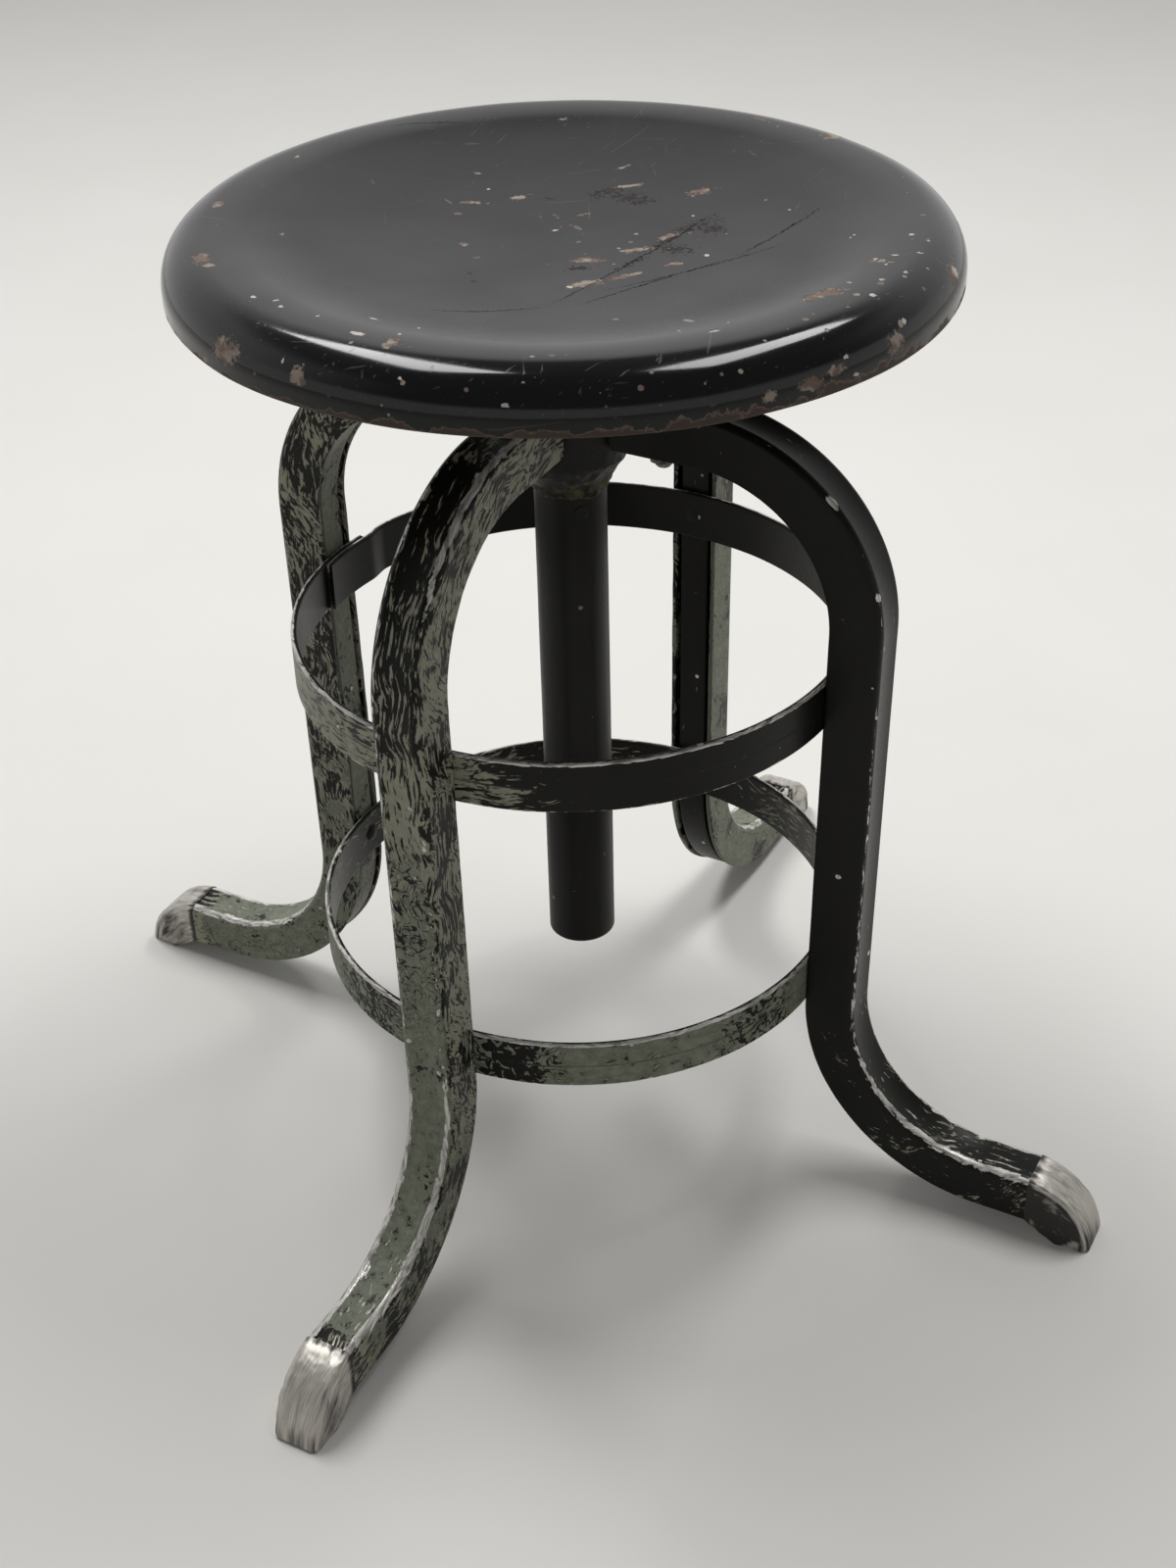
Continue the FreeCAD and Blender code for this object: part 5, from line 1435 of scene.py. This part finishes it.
class STOOL_OT_hub(bpy.types.Operator):
    """Casts the hub, with its arms inside the legs, its bolts and its nuts"""

    bl_idname = "stool.hub"
    bl_label = "Hub"

    def execute(self, context):
        column, legs = context.scene.stool_column, context.scene.stool_legs
        low, high = np.array(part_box("hub_casting")) / MM
        bottom, top = low[2], high[2]
        bore = column.screw + 0.06
        arch_underside = legs.top - legs.width
        barrel_foot = arch_underside - BARREL_DROP
        collar_top = barrel_foot - COLLAR_DROP
        collar_foot = collar_top - COLLAR_HEIGHT
        spigot, collar = column.tube - 2.02, column.tube + 1.7
        profile = np.concatenate([
            straight((bore, bottom), (spigot, bottom), 3),
            straight((spigot, bottom), (spigot, collar_foot), 6)[1:],
            straight((spigot, collar_foot), (collar - 0.8, collar_foot), 4)[1:],
            arc_points((collar - 0.8, collar_foot + 0.8), 0.8, -90, 0, 4)[1:],
            straight((collar, collar_foot + 0.8), (collar, collar_top), 5)[1:],
            straight((collar, collar_top), (column.hub, barrel_foot), 18)[1:],
            straight((column.hub, barrel_foot), (column.hub, top - 3), 44)[1:],
            straight((column.hub, top - 3), (column.hub - 3, top), 7)[1:],
            straight((column.hub - 3, top), (bore + 0.6, top), 12)[1:],
            straight((bore, top - 0.6), (bore, bottom + 1), 30),
        ])
        barrel = turned(profile, 200)
        points = barrel[0]
        height = points[:, 2]
        cast = (from_axis(points) > collar - 1) & (height < top - 0.5)
        # Lumps of the casting, and of the grease that lies thickest by the collar
        lumps = np.clip(ripple(points, 7, 81) + ripple(points, 15, 82), -0.4, 2)
        near_collar = smooth(height, barrel_foot + 10, collar_top - 2)
        push_out(points, np.where(cast, lumps * (column.grit * 0.5 + 0.9 * near_collar), 0))
        # The arms fill the channels but for 0.1 mm, and are rounder above than below
        half = legs.width / 2 - legs.wall - 0.1
        rise = legs.width - legs.wall - 0.1
        crown, edge = 1.4, 0.8
        corner = np.concatenate([
            arc_points((half - crown, rise - crown), crown, 0, 90, 6),
            arc_points((-half + crown, rise - crown), crown, 90, 180, 6),
            arc_points((-half + edge, edge), edge, 180, 270, 5),
            arc_points((half - edge, edge), edge, 270, 360, 5),
        ])
        stations = np.linspace(column.hub - 5, ARM_END, ARM_STATIONS)
        rings = np.stack([
            np.repeat(stations[:, None], len(corner), axis=1),
            np.repeat(corner[None, :, 0], len(stations), axis=0),
            np.repeat(corner[None, :, 1], len(stations), axis=0) + arch_underside,
        ], axis=-1)
        arm, arm_faces = loft(rings)
        bumps = (ripple(arm, 9, 83) + 0.2) * column.grit * 0.6
        arm[:, 2] += np.where(arm[:, 2] < arch_underside + 0.5, bumps, 0)
        shape = several([barrel] + [(about_z(arm, azimuth), arm_faces) for azimuth in LEGS.values()])
        marks = {"grease": 0.75 * smooth(shape[0][:, 2], barrel_foot + 16, collar_top) - 0.1}
        add_piece("cast_hub", shape, "frame", rough_casting(), ["hub_casting"], marks)
        plated = machined_steel("dull_plated_bolts", "#7d7a74", "#241f1a", 0.12)
        seat, head, bevel = legs.top - legs.sink, legs.top + 5, 0.9
        profile = np.concatenate([
            [(0, BOLT_FOOT), (BOLT_RADIUS - bevel, BOLT_FOOT), (BOLT_RADIUS, BOLT_FOOT + bevel)],
            straight((BOLT_RADIUS, BOLT_FOOT + bevel), (BOLT_RADIUS, seat), 8)[1:],
            hex_profile(BOLT_FLATS, seat, head, BOLT_RADIUS)[1:-1],
            [(4.5, head + 0.05), (0, head + 0.05)],
        ])
        bolts = at_each_leg(profile, 96, BOLT_REACH, BOLT_FLATS)
        add_piece("hex_leg_bolts", bolts, "frame", plated, ["leg_bolts"])
        nut = hex_nut(BOLT_FLATS, BOLT_RADIUS + 0.02, arch_underside - BOLT_NUT_HEIGHT, arch_underside)
        nuts = at_each_leg(nut, 96, BOLT_REACH, BOLT_FLATS)
        add_piece("hex_leg_nuts", nuts, "frame", plated, ["leg_nuts"])
        return {"FINISHED"}


class STOOL_OT_guard_tube(bpy.types.Operator):
    """Draws the guard tube and finishes its plugs"""

    bl_idname = "stool.guard_tube"
    bl_label = "Guard tube"

    def execute(self, context):
        column = context.scene.stool_column
        low, high = np.array(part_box("guard_tube")) / MM
        bottom, top, outer, bore = low[2], high[2], column.tube, column.tube - 2.0
        profile = np.concatenate([
            straight((outer, top), (outer, bottom + 0.7), 130),
            arc_points((outer - 0.7, bottom + 0.7), 0.7, 0, -90, 5)[1:],
            [(bore + 0.4, bottom), (bore, bottom + 0.4)],
            straight((bore, bottom + 0.4), (bore, top), 20)[1:],
        ])
        shape = turned(profile, 128)
        points = shape[0]
        dents = np.where(from_axis(points) > outer - 0.5, ripple(points, 50, 91) * 0.07, 0)
        push_out(points, -np.abs(dents))
        places = np.array(TUBE_MARKS, float)
        side = (bearings(points)[:, None] - places[:, 0] + 180) % 360 - 180
        side *= math.radians(outer)
        rise = points[:, 2:] - places[:, 1]
        chips = (1 - np.hypot(side / places[:, 2], rise / places[:, 3])).max(axis=1)
        worn_foot = 0.75 - (points[:, 2] - bottom) / 4
        marks = {"chips": np.maximum(chips, np.clip(worn_foot, -1, 0.42))}
        add_piece("drawn_guard_tube", shape, "frame", tube_enamel(), ["guard_tube"], marks)
        low, high = np.array(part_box("tube_plugs")) / MM
        plug_height = (low[2] + high[2]) / 2
        shape = pointing_out(DIMPLED_PLUG, 48, outer + PLUG_OFFSET, plug_height, PLUGS_AT)
        # A ring of bare metal 3 mm from each plug's middle
        reach = np.hypot(shape[0][:, 0], shape[0][:, 2] - plug_height)
        marks = {"chips": 0.5 - np.abs(reach - 3.0) * 0.9}
        add_piece("dimpled_tube_plugs", shape, "frame", tube_enamel(), ["tube_plugs"], marks)
        return {"FINISHED"}


class STOOL_OT_spindle(bpy.types.Operator):
    """Cuts the screw thread and finishes the bush and pins at its ends"""

    bl_idname = "stool.spindle"
    bl_label = "Screw spindle"

    def execute(self, context):
        column = context.scene.stool_column
        low, high = np.array(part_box("spindle")) / MM
        bottom, top = low[2], high[2]
        shoulder, thread_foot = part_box("seat_flange")[0][2] / MM, bottom + FOOT_LENGTH
        screw, journal, neck = column.screw, column.screw - FOOT_STEP, column.screw - NECK_STEP
        bevel = 0.6
        profile = np.concatenate([
            [(0, bottom), (journal - bevel, bottom), (journal, bottom + bevel), (journal, thread_foot)],
            [(screw - bevel, thread_foot)],
            straight((screw, thread_foot + bevel), (screw, shoulder - 0.1), 620),
            [(neck, shoulder), (neck, top - bevel), (neck - bevel, top), (0, top)],
        ])
        shape = turned(profile, 72)
        points = shape[0]
        # The thread's depth depends on how far the height runs ahead of the turn, in leads:
        # a flat crest, a slope, a flat root and a slope back
        ahead = np.mod(points[:, 2] / column.lead - np.arctan2(points[:, 1], points[:, 0]) / (2 * np.pi), 1)
        groove = smooth(np.abs(ahead - 0.5), 0.34, 0.12)
        height = points[:, 2]
        ends = smooth(height, thread_foot + 1, thread_foot + 8) * smooth(height, shoulder - 2, shoulder - 10)
        push_out(points, -np.where(from_axis(points) > screw - 0.2, groove * ends * column.thread, 0))
        steel = machined_steel("oiled_screw_steel", "#8f8b85", "#1d1813", 0.16)
        add_piece("threaded_spindle", shape, "seat", steel, ["spindle"], crease=50.0)
        low, high = np.array(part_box("foot_washer")) / MM
        rim, hole, seat, bevel = high[0], BOLT_RADIUS + 0.15, low[2], 0.4
        ring = np.concatenate([
            [(hole, seat), (rim - bevel, seat), (rim, seat + bevel)],
            [(rim, high[2] - bevel), (rim - bevel, high[2]), (hole, high[2])],
        ])
        plated = machined_steel("dull_plated_foot_screw", "#86837c", "#2a241d", 0.1)
        add_piece("turned_foot_washer", turned(ring, 96), "seat", plated, ["foot_washer"])
        low, high = np.array(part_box("foot_screw")) / MM
        profile = np.concatenate([
            [(0, low[2])],
            hex_profile(BOLT_FLATS, low[2], seat, BOLT_RADIUS)[1:],
            straight((BOLT_RADIUS, seat), (BOLT_RADIUS, high[2]), 6)[1:],
            [(0, high[2])],
        ])
        bolt = turned(profile, 96, flats=BOLT_FLATS)
        add_piece("hex_foot_screw", bolt, "seat", plated, ["foot_screw"])
        refinish("guide_bush", machined_steel("oiled_bronze_bush", "#9a7642", "#30200f", 0.05))
        refinish("cross_pin", steel)
        return {"FINISHED"}


# Stage


# Softboxes: name, place and size in metres, turn in degrees, share of the set power
SOFTBOXES = [
    ("left", (-0.42, 0.95, 2.2), (0.5, 1.5), 0.0, 1.0),
    ("right", (0.95, 0.25, 2.2), (0.5, 1.4), -38.0, 0.85),
]
# Camera, fitted to the photograph: place in metres; yaw, pitch and roll in degrees; frame width in mm
CAMERA_PLACE = (-0.26365, -0.90452, 0.84024)
CAMERA_TURN = (16.55, -34.35, -1.42)
FRAME_WIDTH = 36.0
FLOOR_RADIUS = 3000


class STOOL_OT_stage(bpy.types.Operator):
    """Sets the floor, the soft lamps, the surroundings and the camera"""

    bl_idname = "stool.stage"
    bl_label = "Stage"

    def execute(self, context):
        settings = context.scene.stool_stage
        self.floor()
        self.surroundings(context.scene)
        for name, place, size, turn, share in SOFTBOXES:
            lamp = bpy.data.lights.new(f"{name}_softbox", "AREA")
            lamp.shape, lamp.energy = "RECTANGLE", settings.key * share
            lamp.size, lamp.size_y = size
            holder = bpy.data.objects.new(f"{name}_softbox", lamp)
            context.scene.collection.objects.link(holder)
            holder.location = place
            holder.rotation_euler = (0, 0, math.radians(turn))
        self.camera(context.scene, settings)
        return {"FINISHED"}

    def floor(self):
        """A level disc of fine pale screed, 6 m across."""
        material, tree = new_material("pale_screed")
        place = add(tree, "TexCoord")["Object"]
        cloud = add(tree, "TexNoise", {"Vector": place, "Scale": every(180), "Detail": 6.0})[0]
        seen = add(tree, "Mix", {0: cloud, MIX_A: rgba(colours().floor), MIX_B: rgba(linear("#d8d6d1"))},
                   data_type="RGBA")[MIX_RESULT]
        surface = add(tree, "BsdfPrincipled", {"Base Color": seen, "Roughness": 0.75})[0]
        add(tree, "OutputMaterial", {"Surface": surface})
        points, faces = turned([(0, 0), (500, 0), (FLOOR_RADIUS, 0)], 64)
        mesh = bpy.data.meshes.new("studio_floor")
        faces = [block[:, ::-1] for block in faces]
        mesh.from_pydata((points * MM).tolist(), [], [f for block in faces for f in block.tolist()])
        mesh.materials.append(material)
        disc = bpy.data.objects.new("studio_floor", mesh)
        bpy.context.scene.collection.objects.link(disc)

    def surroundings(self, scene):
        """A room that is pale round the horizon and behind the stool, and dim overhead."""
        world = bpy.data.worlds.new("pale_room")
        world.use_nodes = True
        tree = world.node_tree
        tree.nodes.clear()
        way = add(tree, "TexCoord")["Generated"]
        parts = add(tree, "SeparateXYZ", {"Vector": way})
        behind = add(tree, "MapRange", {"Value": parts["Y"], "From Min": -0.5, "From Max": 0.6,
                                        "To Min": 0.0, "To Max": 0.62}, interpolation_type="SMOOTHSTEP")[0]
        low = add(tree, "MapRange", {"Value": parts["Z"], "From Min": 0.5, "From Max": 0.72,
                                     "To Min": 1.0, "To Max": 0.1}, interpolation_type="SMOOTHSTEP")[0]
        lit = add(tree, "Math", {0: behind, 1: low, 2: 0.16}, operation="MULTIPLY_ADD")[0]
        skirting = add(tree, "MapRange", {"Value": parts["Z"], "From Min": 0.12, "From Max": 0.3,
                                          "To Min": 0.72, "To Max": 0.0}, interpolation_type="SMOOTHSTEP")[0]
        room = add(tree, "Math", {0: lit, 1: skirting}, operation="MAXIMUM")[0]
        walls = add(tree, "Background", {"Color": (1, 1, 1, 1), "Strength": room})[0]
        add(tree, "OutputWorld", {"Surface": walls})
        scene.world = world

    def camera(self, scene, settings):
        """The photograph's view: 0.94 m out from the stool's axis, looking 34 degrees down."""
        lens = bpy.data.cameras.new("photograph_view")
        lens.sensor_width, lens.sensor_fit, lens.lens = FRAME_WIDTH, "HORIZONTAL", settings.lens
        lens.clip_end = 20.0
        camera = bpy.data.objects.new("photograph_view", lens)
        scene.collection.objects.link(camera)
        camera.location = CAMERA_PLACE
        yaw, pitch, roll = (math.radians(angle) for angle in CAMERA_TURN)
        heading = Matrix.Rotation(-yaw, 3, "Z")
        tilt = Matrix.Rotation(math.pi / 2 + pitch, 3, "X")
        lean = Matrix.Rotation(roll, 3, "Z")
        camera.rotation_mode = "QUATERNION"
        camera.rotation_quaternion = (heading @ tilt @ lean).to_quaternion()
        scene.camera = camera


# Panel and registration


class STOOL_PT_build(bpy.types.Panel):
    """Lists the stool's pieces, sizes and colours"""

    bl_label = "Stool"
    bl_idname = "STOOL_PT_build"
    bl_space_type = "VIEW_3D"
    bl_region_type = "UI"
    bl_category = "Stool"

    def draw(self, context):
        for operator in OPERATORS:
            self.layout.operator(operator.bl_idname)
        for name, group in SETTINGS.items():
            box = self.layout.box()
            box.label(text=group.__doc__)
            for field in group.__annotations__:
                box.prop(getattr(context.scene, name), field)


SETTINGS = {
    "stool_seat": SeatSizes, "stool_legs": LegSizes, "stool_bands": BandSizes,
    "stool_column": ColumnSizes, "stool_colours": FinishColours, "stool_stage": StageSettings,
}
OPERATORS = [
    STOOL_OT_stage, STOOL_OT_seat_pan, STOOL_OT_seat_mounting, STOOL_OT_legs, STOOL_OT_foot_caps,
    STOOL_OT_bands, STOOL_OT_hub, STOOL_OT_guard_tube, STOOL_OT_spindle,
]


def register():
    """Makes the settings, operators and panel known."""
    for group in SETTINGS.values():
        bpy.utils.register_class(group)
    for operator in OPERATORS:
        bpy.utils.register_class(operator)
    bpy.utils.register_class(STOOL_PT_build)
    for name, group in SETTINGS.items():
        setattr(bpy.types.Scene, name, bpy.props.PointerProperty(type=group))


def unregister():
    """Takes them away again."""
    for name in SETTINGS:
        delattr(bpy.types.Scene, name)
    bpy.utils.unregister_class(STOOL_PT_build)
    for operator in reversed(OPERATORS):
        bpy.utils.unregister_class(operator)
    for group in reversed(list(SETTINGS.values())):
        bpy.utils.unregister_class(group)


def main():
    """Registers everything and builds the stool piece by piece."""
    register()
    bpy.context.scene.view_settings.view_transform = "Standard"
    for operator in OPERATORS:
        group, name = operator.bl_idname.split(".")
        getattr(getattr(bpy.ops, group), name)()


if __name__ == "__main__":
    main()
